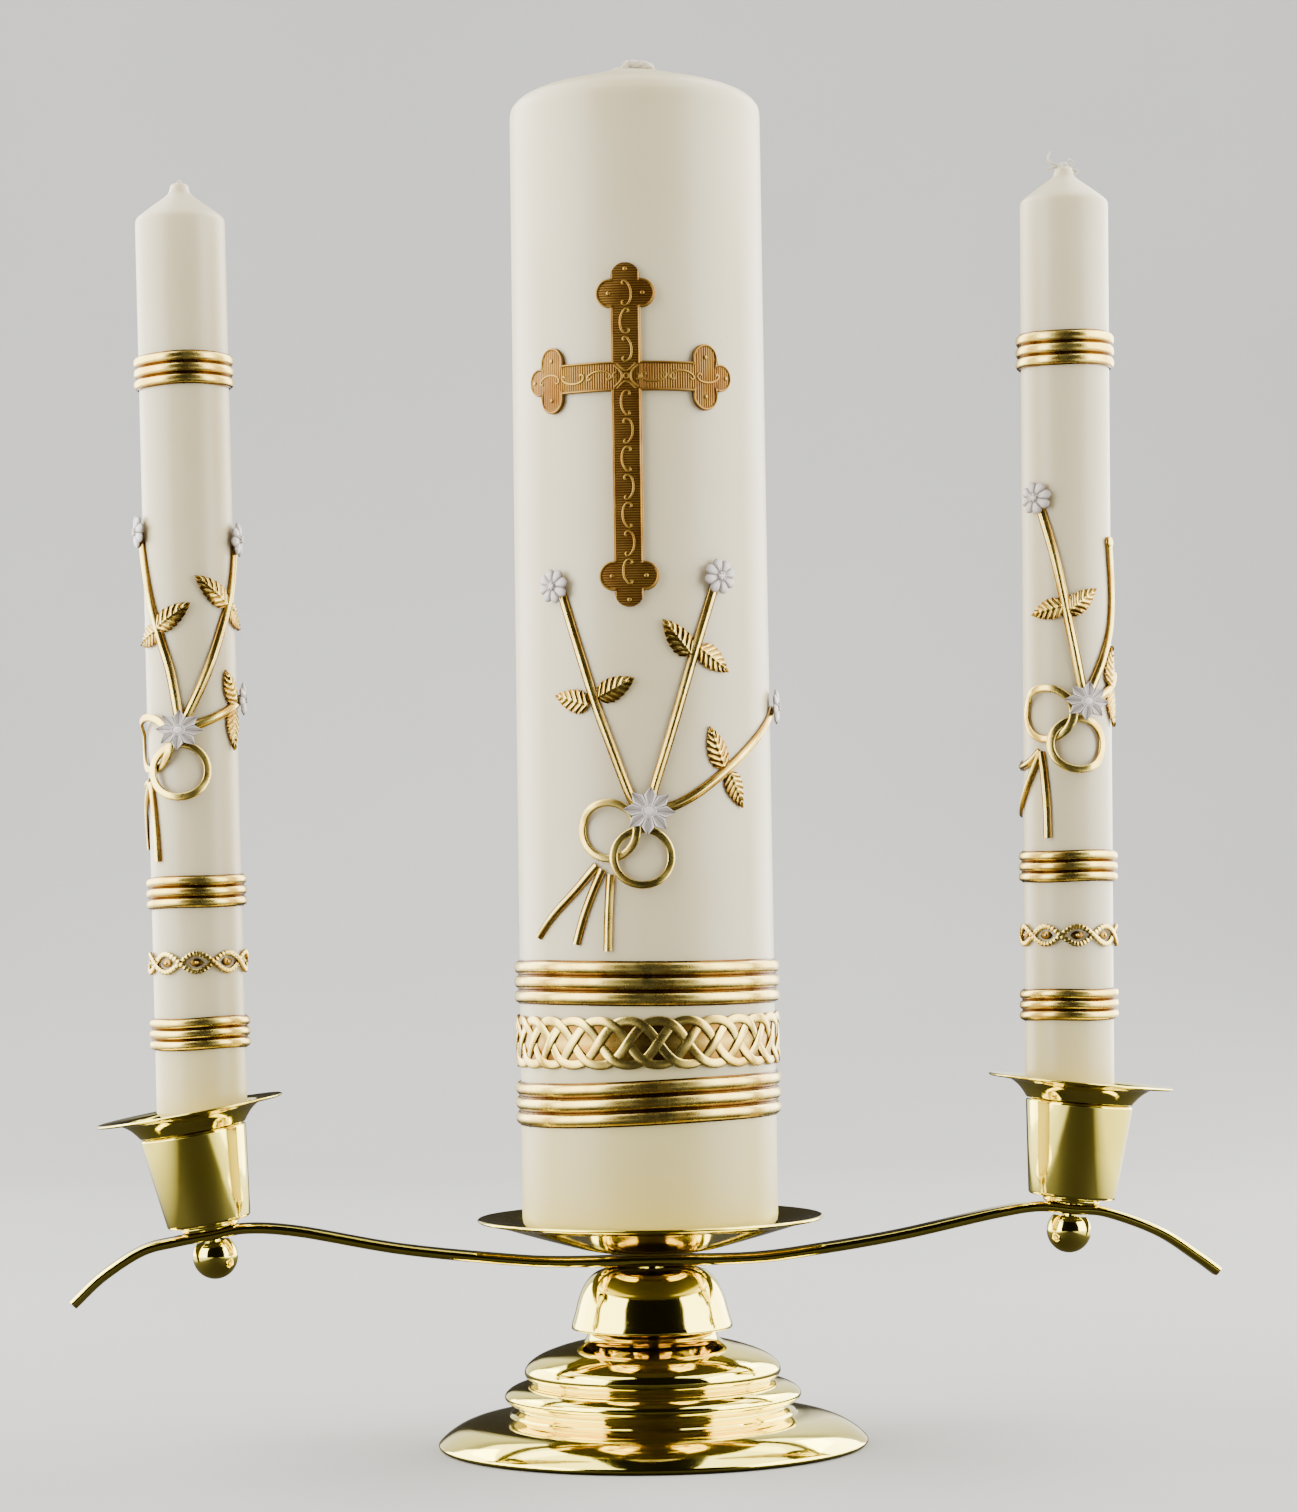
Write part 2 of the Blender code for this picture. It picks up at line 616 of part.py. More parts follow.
def ribbon(name, tails, knot, radius, mat, place):
    """Ribbon tails that leave one small knot."""
    pieces = []
    for k, points in enumerate(tails):
        low = SKIN + 0.11 * k
        section = ((-1.0, low), (1.0, low), (0.9, low + 0.4), (0.0, low + 0.6), (-0.9, low + 0.4))
        path = smooth_path([(u, v, 0.0) for u, v in points], 2)
        pieces.append(finish(name, sweep(path, section, False, radius), mat, place))
    outline = [(1.5 * math.cos(k * math.tau / 10), 1.5 * math.sin(k * math.tau / 10)) for k in range(10)]
    knob = wrap_solid(outline, SKIN - 0.05, 1.45, radius, knot, 4.0)
    pieces.insert(0, finish(name, knob, mat, place))
    fused = combine(pieces[0], pieces[1:], "UNION")
    fused.name = name
    return fused


# ---------------------------------------------------------------- taper candles

def taper_wax(side, data, wax):
    seat = data["z"]
    rim = seat + data["high"] + 4.3
    top = data["shoulder"]
    profile = [(TAPER_BORE_R, seat + 4.4), (7.0, seat + 4.4), (7.6, seat + 5.2), (7.6, rim - 3.0),
               (TAPER_R, rim), (TAPER_R, top), (2.75, top + 6.6), (2.0, top + 9.2), (TAPER_BORE_R, top + 9.4)]
    return finish(side + "_taper_wax", lathe(profile, 22), wax, placed(data["axis_x"], 0.0, data["lean"]))


def taper_wick(side, data, cotton):
    seat = data["z"]
    top = data["shoulder"] + 9.4
    points = [(0, 0, seat + 6.0), (0, 0, top - 0.5), (0.1, 0, top + 0.9), (0.8, 0, top + 2.6)]
    bm = bent_rod(points, 0.7, 6)
    return finish(side + "_taper_wick", bm, cotton, placed(data["axis_x"], 0.0, data["lean"]))


TAPER_BANDS = {
    "left": {"top": (269.9, 8.4), "middle": (140.0, 8.0), "low": (105.0, 8.0), "braid": 122.5},
    "right": {"top": (274.3, 9.0), "middle": (143.3, 8.0), "low": (108.5, 8.0), "braid": 125.9},
}
# Sprays on the tapers: girth angles in degrees and heights in millimetres
SPRAYS = {
    "left": {
        "knot": (-12.4, 179.9),
        "stems": [[(-77.0, 229.5), (-54.4, 213.1), (-37.2, 202.8), (-23.4, 193.8), (-12.4, 180.2)],
                  [(81.0, 227.0), (65.0, 215.0), (46.8, 206.5), (22.2, 194.4), (-11.0, 180.6)],
                  [(89.0, 187.8), (62.0, 185.6), (47.3, 184.3), (12.1, 181.5), (-8.0, 180.4)]],
        "flowers": [((-78.0, 230.0), 8.4), ((82.0, 227.6), 8.6), ((90.0, 187.8), 8.2)],
        "leaves": [((-40.5, 204.9), (-80.0, 201.5)), ((-41.0, 205.4), (3.4, 211.5)),
                   ((52.0, 211.0), (9.0, 218.2)), ((60.0, 210.6), (92.0, 205.0)),
                   ((67.0, 186.0), (46.9, 194.8)), ((62.0, 185.2), (61.0, 174.8))],
        "rings": ((-11.0, 176.9), (-2.8, 169.9), 6.5),
        "tie": (-12.3, 167.4),
        "tails": [[(-12.3, 167.4), (-11.4, 163.0), (-10.4, 155.0), (-9.9, 147.6)],
                  [(-12.4, 167.4), (-15.5, 163.0), (-18.6, 156.5), (-20.2, 151.0)],
                  [(-12.5, 167.5), (-17.5, 166.5), (-23.0, 163.0), (-27.0, 158.0)]],
    },
    "right": {
        "knot": (11.1, 184.6),
        "stems": [[(-47.0, 235.6), (-31.0, 225.5), (-19.9, 216.5), (-3.7, 200.2), (11.1, 184.9)],
                  [(56.0, 225.0), (63.0, 213.0), (60.0, 205.5), (49.6, 199.6), (24.0, 189.4), (12.0, 184.6)],
                  [(80.0, 192.0), (62.0, 189.0), (36.1, 186.2), (12.0, 184.4)]],
        "flowers": [((-48.7, 236.2), 8.4)],
        "leaves": [((-13.0, 208.8), (-57.7, 206.6)), ((-11.0, 207.0), (28.3, 213.2)),
                   ((56.0, 188.6), (60.0, 199.0)), ((58.0, 188.2), (66.0, 178.5))],
        "rings": ((-7.1, 181.6), (0.6, 173.9), 6.4),
        "tie": (-8.9, 172.1),
        "tails": [[(-8.9, 172.1), (-8.0, 166.0), (-7.3, 158.0), (-7.1, 150.3)],
                  [(-9.0, 172.1), (-12.0, 166.5), (-16.0, 161.0), (-20.5, 156.5)],
                  [(-9.1, 172.1), (-13.0, 169.5), (-18.0, 168.6), (-23.5, 169.6)]],
    },
}


def flare(point, radius):
    """Small flared cap on a stem's cut end."""
    outline = [(1.6 * math.cos(k * math.tau / 8), 1.2 * math.sin(k * math.tau / 8)) for k in range(8)]
    return wrap_solid(outline, SKIN - 0.03, 1.7, radius, point, 4.0)


def spray(side, gold, place):
    data = SPRAYS[side]
    radius = TAPER_R
    name = side + "_spray"
    knot = (around(data["knot"][0], radius), data["knot"][1])
    pieces = [finish(name, flower(knot, 9.2, PETAL_LOW, radius, True), gold, place)]
    for points in data["stems"]:
        track = [(around(a, radius), z) for a, z in points]
        pieces.append(finish(name, stem(track, radius), gold, place))
    for (angle, z), size in data["flowers"]:
        bm = flower((around(angle, radius), z), size, 0.9, radius, False)
        pieces.append(finish(name, bm, gold, place))
    for base, tip in data["leaves"]:
        start = (around(base[0], radius), base[1])
        end = (around(tip[0], radius), tip[1])
        bm = leaf(start, end, 5.0, radius, SKIN + 0.07)
        pieces.append(finish(name, bm, gold, place))
    if side == "right":
        cut_end = data["stems"][1][0]
        pieces.append(finish(name, flare((around(cut_end[0], radius), cut_end[1]), radius), gold, place))
    return combine(pieces[0], pieces[1:], "UNION")


def taper_trims(side, data, gold):
    place = placed(data["axis_x"], 0.0, data["lean"])
    bands = TAPER_BANDS[side]
    for name in ("top", "middle", "low"):
        middle, height = bands[name]
        finish("%s_%s_band" % (side, name), ribbed(TAPER_R, middle, height, 1.3, 20), gold, place)
    braid = twist_strands(9, 2.2, bands["braid"], TAPER_R)
    weave(side + "_braid", braid, False, 0.7, TAPER_R, gold, place)
    spray(side, gold, place)
    centre_a, centre_b, reach = SPRAYS[side]["rings"]
    rings = ring_pair(centre_a, centre_b, reach, TAPER_R)
    finish(side + "_ring_upper", rings[0], gold, place)
    finish(side + "_ring_lower", rings[1], gold, place)
    ribbon(side + "_ribbon", SPRAYS[side]["tails"], SPRAYS[side]["tie"], TAPER_R, gold, place)


def build():
    clear_scene()
    brass = material("brass", (0.80, 0.62, 0.28), 1.0, 0.12)
    wax = material("wax", (0.88, 0.84, 0.74), 0.0, 0.38)
    gold = material("antique_gold", (0.56, 0.38, 0.13), 0.85, 0.34)
    enamel = material("enamel", (0.86, 0.84, 0.84), 0.0, 0.3)
    cotton = material("cotton", (0.84, 0.79, 0.66), 0.0, 0.85)
    for make in (base_foot, base_bell, spacer_sleeve, pillar_plate, tie_rod, base_washer, base_nut, arm):
        make(brass)
    for side, data in SIDES.items():
        for make in (cup, drip_pan, cup_screw, ball_nut):
            make(side, data, brass)
    pillar_wax(wax)
    pillar_wick(cotton)
    pillar_trims(gold, enamel)
    for side, data in SIDES.items():
        taper_wax(side, data, wax)
        taper_wick(side, data, cotton)
        taper_trims(side, data, gold)


build()
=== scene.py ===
import json
from math import acos, asin, atan2, copysign, cos, exp, hypot, pi, radians, sin, sqrt, tau

import bmesh
import bpy
from mathutils import Matrix, Vector


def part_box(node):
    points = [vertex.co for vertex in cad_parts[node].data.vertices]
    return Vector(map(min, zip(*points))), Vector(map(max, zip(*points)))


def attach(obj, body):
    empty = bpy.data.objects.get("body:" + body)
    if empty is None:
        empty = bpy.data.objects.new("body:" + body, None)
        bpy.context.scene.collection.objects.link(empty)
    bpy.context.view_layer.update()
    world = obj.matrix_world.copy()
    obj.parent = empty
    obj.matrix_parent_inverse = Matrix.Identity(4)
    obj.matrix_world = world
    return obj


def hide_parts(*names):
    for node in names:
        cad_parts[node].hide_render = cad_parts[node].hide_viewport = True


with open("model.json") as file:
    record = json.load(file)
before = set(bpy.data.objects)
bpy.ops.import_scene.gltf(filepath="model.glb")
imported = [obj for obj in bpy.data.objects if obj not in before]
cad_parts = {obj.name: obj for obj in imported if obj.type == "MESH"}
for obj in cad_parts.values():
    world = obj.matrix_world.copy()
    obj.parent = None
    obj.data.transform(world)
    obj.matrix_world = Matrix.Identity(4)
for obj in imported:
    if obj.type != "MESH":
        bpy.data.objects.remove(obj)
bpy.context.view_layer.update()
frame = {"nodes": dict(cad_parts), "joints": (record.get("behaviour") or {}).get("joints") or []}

MM = 0.001

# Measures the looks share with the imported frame, in millimetres
PILLAR_R = 31.8
PILLAR_TOP = 346.0
TAPER_R = 11.2
SKIN = 0.25  # from the wax to the back of a decoration
BALL_R = 5.6
BALL_DROP = 8.5  # from a cup's foot down to the centre of its ball nut
CUP_SEAT = 1.8  # from a cup's foot down to the arm
ARM_HALF_WIDE = 4.0
ARM_HALF_THICK = 1.3
CLAMP_REACH = 14.0  # how far from the middle the arm is squared up for its clamp

# Sides of the spun shapes
BASE_SEGS = 160
CUP_SEGS = 120
BALL_SEGS = 72
PILLAR_SEGS = 192
TAPER_SEGS = 112

# Cross, in millimetres from where its limbs meet
LIMB = 3.65  # half width of a limb
TIP_HALF = 0.12  # half width past the bar's end, where only lobes widen it
BAR_STOP = 5.0  # the bar's outline ends this far short of the tip
FIELD_STOP = 4.4  # and its sunk field this far short
END_R = 3.4
# Each limb's length, then how far out its side lobes lie and their reach across and along it
LIMBS = {"up": (28.0, 3.8, 3.4, 3.6), "down": (56.6, 3.8, 3.4, 3.6), "side": (27.3, 4.5, 3.7, 3.4)}
LOBE_BACK = 7.6  # from the tip back to the side lobes
RIM = 0.62
RULE_PITCH = 0.62  # of the lines that rule the field
SCROLL_PITCH = 6.9
CROSS_AT = (-5.3, 264.4)
VINE_FOOT = 0.93  # from the wax to the foot of the scrolls


# ---- frames from the record

def joint(name):
    return next(j for j in frame["joints"] if j["name"] == name)


def leaning(axis, origin):
    """Frame whose Z follows an axis in the X-Z plane."""
    turn = Matrix.Rotation(atan2(axis.x, axis.z), 4, "Y")
    return Matrix.Translation(origin) @ turn


def cup_frame(side):
    """Frame at the centre of a cup's foot."""
    hinge = joint(side + "_ball_turn")
    axis = Vector(hinge["axis"]).normalized()
    return leaning(axis, Vector(hinge["pos_m"]) + axis * BALL_DROP * MM)


def taper_frame(side):
    """Frame on a taper's axis at table height."""
    axis = Vector(joint(side + "_taper_lift")["axis"]).normalized()
    low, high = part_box(side + "_top_band")
    middle = (low + high) / 2
    return leaning(axis, middle - axis * (middle.z / axis.z))


def level_in(place, low, high):
    """Height of a box's middle up a leaning candle, in millimetres."""
    return (place.inverted() @ ((low + high) / 2)).z / MM


def compass(count):
    """Angles that share out a full turn."""
    return [tau * k / count for k in range(count)]


def spoke(centre, reach, angle):
    """Point on a candle's unrolled wax at a reach and bearing from a centre."""
    return (centre[0] + reach * cos(angle), centre[1] + reach * sin(angle))


# ---- mesh building

class Shape:
    """Points in millimetres, each with a relief value: 0 in a hollow, 1 on a crest.

    The radius is that of the candle the shape is laid on.
    """

    def __init__(self, radius=None):
        self.radius = radius
        self.points = []
        self.relief = []
        self.faces = []

    def grid(self, rows, relief, around=False, along=False, ends=False):
        first = len(self.points)
        wide = len(rows[0])
        for row, heights in zip(rows, relief):
            self.points.extend(row)
            self.relief.extend(heights)
        for i in range(len(rows) if along else len(rows) - 1):
            j = (i + 1) % len(rows)
            for k in range(wide if around else wide - 1):
                n = (k + 1) % wide
                self.faces.append((first + i * wide + k, first + i * wide + n,
                                   first + j * wide + n, first + j * wide + k))
        if ends:
            last = first + (len(rows) - 1) * wide
            self.faces.append(tuple(range(first, first + wide)))
            self.faces.append(tuple(range(last, last + wide)))

    def lathe(self, profile, segs, relief=None, shift=None):
        """Spin an outline of (radius, height); closed unless it starts and ends on the axis."""
        heights = relief or [1.0] * len(profile)
        rings = []
        for (radius, z), value in zip(profile, heights):
            start = len(self.points)
            count = 1 if radius < 1e-6 else segs
            for k in range(count):
                angle = tau * k / segs
                lift = shift(angle) if shift else 0.0
                spot = (radius * cos(angle), radius * sin(angle), z + lift)
                self.points.append(Vector(spot))
                self.relief.append(value)
            rings.append((start, count))
        open_ended = rings[0][1] == 1 and rings[-1][1] == 1
        for i in range(len(rings) - 1 if open_ended else len(rings)):
            low, low_n = rings[i]
            high, high_n = rings[(i + 1) % len(rings)]
            for k in range(segs):
                n = (k + 1) % segs
                corners = (low + k % low_n, low + n % low_n,
                           high + n % high_n, high + k % high_n)
                face = tuple(dict.fromkeys(corners))
                if len(face) > 2:
                    self.faces.append(face)


def piece(name, shape, mat, body, nodes=(), place=None, sharp=42.0):
    """Turn a shape into an object that rides on a body and stands for CAD nodes."""
    mesh = bpy.data.meshes.new(name)
    move = place or Matrix.Identity(4)
    mesh.from_pydata([move @ (p * MM) for p in shape.points], [], shape.faces)
    layer = mesh.attributes.new("relief", "FLOAT", "POINT")
    layer.data.foreach_set("value", shape.relief)
    bm = bmesh.new()
    bm.from_mesh(mesh)
    bmesh.ops.remove_doubles(bm, verts=bm.verts, dist=1e-7)
    bmesh.ops.recalc_face_normals(bm, faces=bm.faces)
    bm.to_mesh(mesh)
    bm.free()
    mesh.shade_smooth()
    mesh.set_sharp_from_angle(angle=radians(sharp))
    mesh.materials.append(mat)
    obj = bpy.data.objects.new(name, mesh)
    bpy.context.scene.collection.objects.link(obj)
    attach(obj, body)
    if nodes:
        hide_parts(*nodes)


def spun(node, outline, segs, brass, body, place=None):
    """Brass turned on a lathe, named after the CAD node it stands for."""
    shape = Shape()
    shape.lathe(outline, segs)
    piece(node + "_spun", shape, brass, body, [node], place)


def gilt(node, ending, shape, gold, body, place=None):
    """Gold, named after the CAD node it stands for."""
    piece(node + ending, shape, gold, body, [node], place)


def rounded(points, radius):
    """Closed outline with each corner made an arc; a third value sets a corner's own cut."""
    steps = 4
    out = []
    count = len(points)
    for i, point in enumerate(points):
        here = Vector(point[:2])
        before = Vector(points[i - 1][:2]) - here
        after = Vector(points[(i + 1) % count][:2]) - here
        cut = point[2] if len(point) > 2 else radius
        start = here + before.normalized() * min(cut, 0.48 * before.length)
        end = here + after.normalized() * min(cut, 0.48 * after.length)
        for k in range(steps + 1):
            t = k / steps
            corner = start * (1 - t) ** 2 + here * 2 * t * (1 - t) + end * t * t
            out.append((corner.x, corner.y))
    return out


def smooth_path(points, steps):
    """Catmull-Rom curve through the points, with steps pieces between neighbours."""
    pts = [Vector(p) for p in points]
    pts = [2 * pts[0] - pts[1]] + pts + [2 * pts[-1] - pts[-2]]
    out = []
    for i in range(1, len(pts) - 2):
        a, b, c, d = pts[i - 1:i + 3]
        for k in range(steps):
            t = k / steps
            out.append(0.5 * (2 * b + (c - a) * t + (2 * a - 5 * b + 4 * c - d) * t * t
                              + (3 * b - a - 3 * c + d) * t * t * t))
    out.append(pts[-2])
    return out


def on_wax(u, v, w, radius):
    """Point w off a candle's wax, u along its girth from the front and v up."""
    angle = u / radius
    reach = radius + w
    return Vector((reach * sin(angle), -reach * cos(angle), v))


def girth(degrees, radius):
    return radians(degrees) * radius


def cord(shape, path, section, closed=False, scale=None):
    """Run a section of (across, up) points along (u, v, w) points on a candle."""
    count = len(path)
    belt = tau * shape.radius
    rows = []
    heights = []
    top = max(up for _, up in section)
    low = min(up for _, up in section)
    for i, point in enumerate(path):
        before = path[(i - 1) % count] if closed or i > 0 else point
        after = path[(i + 1) % count] if closed or i < count - 1 else point
        ahead = (after[0] - before[0] + belt / 2) % belt - belt / 2
        run = Vector((ahead, after[1] - before[1])).normalized()
        size = scale(i) if scale else 1.0
        rows.append([on_wax(point[0] - run.y * across * size,
                            point[1] + run.x * across * size,
                            point[2] + up * size, shape.radius) for across, up in section])
        heights.append([(up - low) / (top - low) for _, up in section])
    shape.grid(rows, heights, around=True, along=closed, ends=not closed)


def strip(shape, path, half, height, columns, low=SKIN, top=1.0):
    """A solid leaf-like strip along a path on a candle, with its own width and surface height."""
    rows = []
    heights = []
    count = len(path)
    for i, point in enumerate(path):
        t = i / (count - 1)
        before = path[max(i - 1, 0)]
        after = path[min(i + 1, count - 1)]
        run = Vector((after[0] - before[0], after[1] - before[1])).normalized()
        row = []
        tall = []
        for k in range(columns + 1):
            x = 2 * k / columns - 1
            across = x * half(t)
            w = height(t, x)
            row.append(on_wax(point[0] - run.y * across, point[1] + run.x * across, w,
                              shape.radius))
            tall.append(max(0.0, min(1.0, (w - low) / (top - low))))
        for x in (1, -1):
            across = x * half(t)
            row.append(on_wax(point[0] - run.y * across, point[1] + run.x * across, low,
                              shape.radius))
            tall.append(0.0)
        rows.append(row)
        heights.append(tall)
    shape.grid(rows, heights, around=True, ends=True)


def tube(shape, path, reach, sides=8):
    """Round tube through points in space; reach is its radius at each step from 0 to 1."""
    rows = []
    count = len(path)
    for i, point in enumerate(path):
        run = (path[min(i + 1, count - 1)] - path[max(i - 1, 0)]).normalized()
        side = run.cross(Vector((0.13, 1.0, 0.07))).normalized()
        other = run.cross(side)
        size = reach(i / (count - 1))
        rows.append([point + (side * cos(a) + other * sin(a)) * size
                     for a in compass(sides)])
    shape.grid(rows, [[1.0] * sides] * count, around=True, ends=True)


# ---- materials

class Paint:
    """A Principled material with helpers to wire procedural nodes."""

    def __init__(self, name):
        self.mat = bpy.data.materials.new(name)
        self.mat.use_nodes = True
        self.tree = self.mat.node_tree
        self.shader = self.tree.nodes["Principled BSDF"]
        self.where = self.node("ShaderNodeTexCoord").outputs["Object"]

    def feed(self, socket, value):
        """Set a socket to a constant, or link it to an output."""
        if isinstance(value, bpy.types.NodeSocket):
            self.tree.links.new(value, socket)
        else:
            socket.default_value = value

    def fill(self, node, values):
        """Feed a node's inputs; their names are written with _ for a space."""
        for name, value in values.items():
            self.feed(node.inputs[name.replace("_", " ")], value)
        return node

    def node(self, kind, **values):
        return self.fill(self.tree.nodes.new(kind), values)

    def set(self, **values):
        self.fill(self.shader, values)

    def noise(self, scale, detail=4.0, stretch=None):
        where = self.where
        if stretch:
            where = self.node("ShaderNodeMapping", Vector=where, Scale=stretch).outputs["Vector"]
        node = self.node("ShaderNodeTexNoise", Vector=where, Scale=scale, Detail=detail)
        return node.outputs["Fac"]

    def specks(self, scale, size):
        """Rare round dots: 1 inside a dot and 0 elsewhere."""
        cells = self.node("ShaderNodeTexVoronoi", Vector=self.where, Scale=scale)
        return self.ramp(cells.outputs["Distance"], [(0.0, (1, 1, 1)), (size, (0, 0, 0))])

    def place(self, axis):
        return self.node("ShaderNodeSeparateXYZ", Vector=self.where).outputs[axis]

    def fade(self, source, low, high):
        """0 at a source's low value and 1 at its high one."""
        node = self.node("ShaderNodeMapRange", Value=source, From_Min=low, From_Max=high)
        return node.outputs["Result"]

    def height(self, low, high):
        """0 at one height above the table and 1 at another."""
        return self.fade(self.place("Z"), low, high)

    def beside(self, low, high):
        """0 within one distance of the middle plane and 1 beyond another."""
        away = self.node("ShaderNodeMath")
        away.operation = "ABSOLUTE"
        self.feed(away.inputs[0], self.place("X"))
        return self.fade(away.outputs["Value"], low, high)

    def relief(self):
        node = self.node("ShaderNodeAttribute")
        node.attribute_name = "relief"
        return node.outputs["Fac"]

    def ramp(self, source, stops):
        node = self.node("ShaderNodeValToRGB", Fac=source)
        elements = node.color_ramp.elements
        while len(elements) < len(stops):
            elements.new(0.5)
        for element, (position, color) in zip(elements, stops):
            element.position = position
            element.color = (*color, 1.0)
        return node.outputs["Color"]

    def mix(self, factor, first, second, blend="MIX"):
        """Colour mix; factor, first and second are sockets or constants."""
        node = self.node("ShaderNodeMix")
        node.data_type = "RGBA"
        node.blend_type = blend
        for index, value in ((0, factor), (6, first), (7, second)):
            self.feed(node.inputs[index], value)
        return node.outputs[2]

    def span(self, source, low, high):
        """A source of 0 to 1, scaled to run from low to high."""
        node = self.node("ShaderNodeMapRange", Value=source, To_Min=low, To_Max=high)
        return node.outputs["Result"]

    def bump(self, source, strength, distance):
        """Bump on top of any bump the material has."""
        node = self.node("ShaderNodeBump", Height=source, Strength=strength, Distance=distance)
        normal = self.shader.inputs["Normal"]
        if normal.is_linked:
            self.feed(node.inputs["Normal"], normal.links[0].from_socket)
        self.feed(normal, node.outputs["Normal"])


def polished_brass():
    """Lemon brass, buffed to a mirror, with faint colour drift and hair scratches."""
    paint = Paint("polished_brass")
    drift = paint.ramp(paint.noise(38.0), [(0.35, (0.86, 0.71, 0.10)), (0.7, (0.94, 0.80, 0.16))])
    paint.set(Base_Color=drift, Metallic=1.0,
              Roughness=paint.span(paint.noise(120.0, 6.0), 0.035, 0.12))
    paint.bump(paint.noise(900.0, 2.0, (1.0, 1.0, 0.06)), 0.02, 0.0002)
    return paint.mat


def ivory_wax():
    """Cast candle wax: soft light inside, faint clouds, creamier low down, a few tan specks."""
    paint = Paint("ivory_wax")
    clouds = paint.ramp(paint.noise(22.0, 3.0),
                        [(0.3, (0.55, 0.475, 0.29)), (0.72, (0.58, 0.515, 0.345))])
    creamy = paint.mix(paint.height(0.055, 0.125), (0.57, 0.48, 0.165, 1.0), clouds)
    dotted = paint.mix(paint.specks(85.0, 0.022), creamy, (0.27, 0.20, 0.14, 1.0))
    paint.set(Base_Color=dotted, Roughness=paint.span(paint.noise(60.0), 0.30, 0.44),
              Subsurface_Weight=0.45, Subsurface_Radius=(1.0, 0.78, 0.5),
              Subsurface_Scale=0.006, Specular_IOR_Level=0.42, Coat_Weight=0.12,
              Coat_Roughness=0.25)
    paint.bump(paint.noise(45.0, 2.0), 0.10, 0.0006)
    paint.bump(paint.noise(700.0, 3.0), 0.05, 0.0001)
    return paint.mat


def antique_gold(name, metal, smooth, rough, tone):
    """Gold leaf over pressed wax: bright crests; hollows darkened to umber, partly antiquing and
    partly painted shade; rubbed patches.
    """
    paint = Paint(name)
    # Colour by relief: the low end is umber antiquing deepened with painted shade.
    antiquing_and_painted_shade = paint.ramp(paint.relief(), [(0.0, (0.06, 0.02, 0.004)), (0.40, (0.29, 0.165, 0.03)),
                                        (0.85, (0.74, 0.58, 0.15))])
    rubbed = paint.ramp(paint.noise(160.0, 5.0),
                        [(0.3, (0.74, 0.60, 0.42)), (0.6, (1.0, 1.0, 1.0))])
    leafed = paint.mix(1.0, antiquing_and_painted_shade, rubbed, "MULTIPLY")
    paint.set(Base_Color=paint.mix(1.0, leafed, tone, "MULTIPLY"), Metallic=metal,
              Roughness=paint.span(paint.noise(240.0, 4.0), smooth, rough))
    paint.bump(paint.noise(520.0, 3.0), 0.10, 0.00012)
    return paint.mat


def pearl_petals():
    """Pearly painted petals, pale on their edges, with painted shade that turns them grey-brown in
    their creases.
    """
    paint = Paint("pearl_petals")
    # Painted shade: the lower the relief, the greyer and browner the petal, dark grey-brown at its
    # foot.
    painted_shade = paint.ramp(paint.relief(), [(0.12, (0.12, 0.085, 0.07)), (0.55, (0.36, 0.32, 0.30)),
                                         (0.95, (0.60, 0.56, 0.545))])
    paint.set(Base_Color=painted_shade, Roughness=paint.span(paint.noise(300.0), 0.26, 0.42),
              Subsurface_Weight=0.08, Subsurface_Radius=(1.0, 0.9, 0.9),
              Subsurface_Scale=0.0008)
    paint.bump(paint.noise(800.0, 2.0), 0.06, 0.0001)
    return paint.mat


def waxed_cotton():
    """Cream wick cotton with a little wax in it."""
    paint = Paint("waxed_cotton")
    fibres = paint.ramp(paint.noise(420.0, 6.0),
                        [(0.3, (0.46, 0.40, 0.30)), (0.7, (0.58, 0.54, 0.45))])
    paint.set(Base_Color=fibres, Roughness=paint.span(paint.noise(500.0), 0.6, 0.9),
              Sheen_Weight=0.25)
    paint.bump(paint.noise(2600.0, 3.0), 0.5, 0.00015)
    return paint.mat


def pale_floor():
    """Pale matte paper; glossy rays see a painted reflection instead, near black by the stand and
    light grey beyond it.
    """
    paint = Paint("pale_floor")
    paper = paint.ramp(paint.noise(3.0), [(0.3, (0.315, 0.315, 0.315)), (0.7, (0.335, 0.335, 0.33))])
    mirrored = paint.node("ShaderNodeLightPath").outputs["Is Glossy Ray"]
    # Painted reflection that only glossy rays see: near black in a strip by the stand, light grey out
    # at the sides.
    painted_reflection = paint.mix(paint.beside(0.24, 0.34), (0.006, 0.005, 0.004, 1.0), (0.50, 0.50, 0.48, 1.0))
    paint.set(Base_Color=paint.mix(mirrored, paper, painted_reflection), Roughness=0.8, Specular_IOR_Level=0.2)
    return paint.mat


# ---- stand

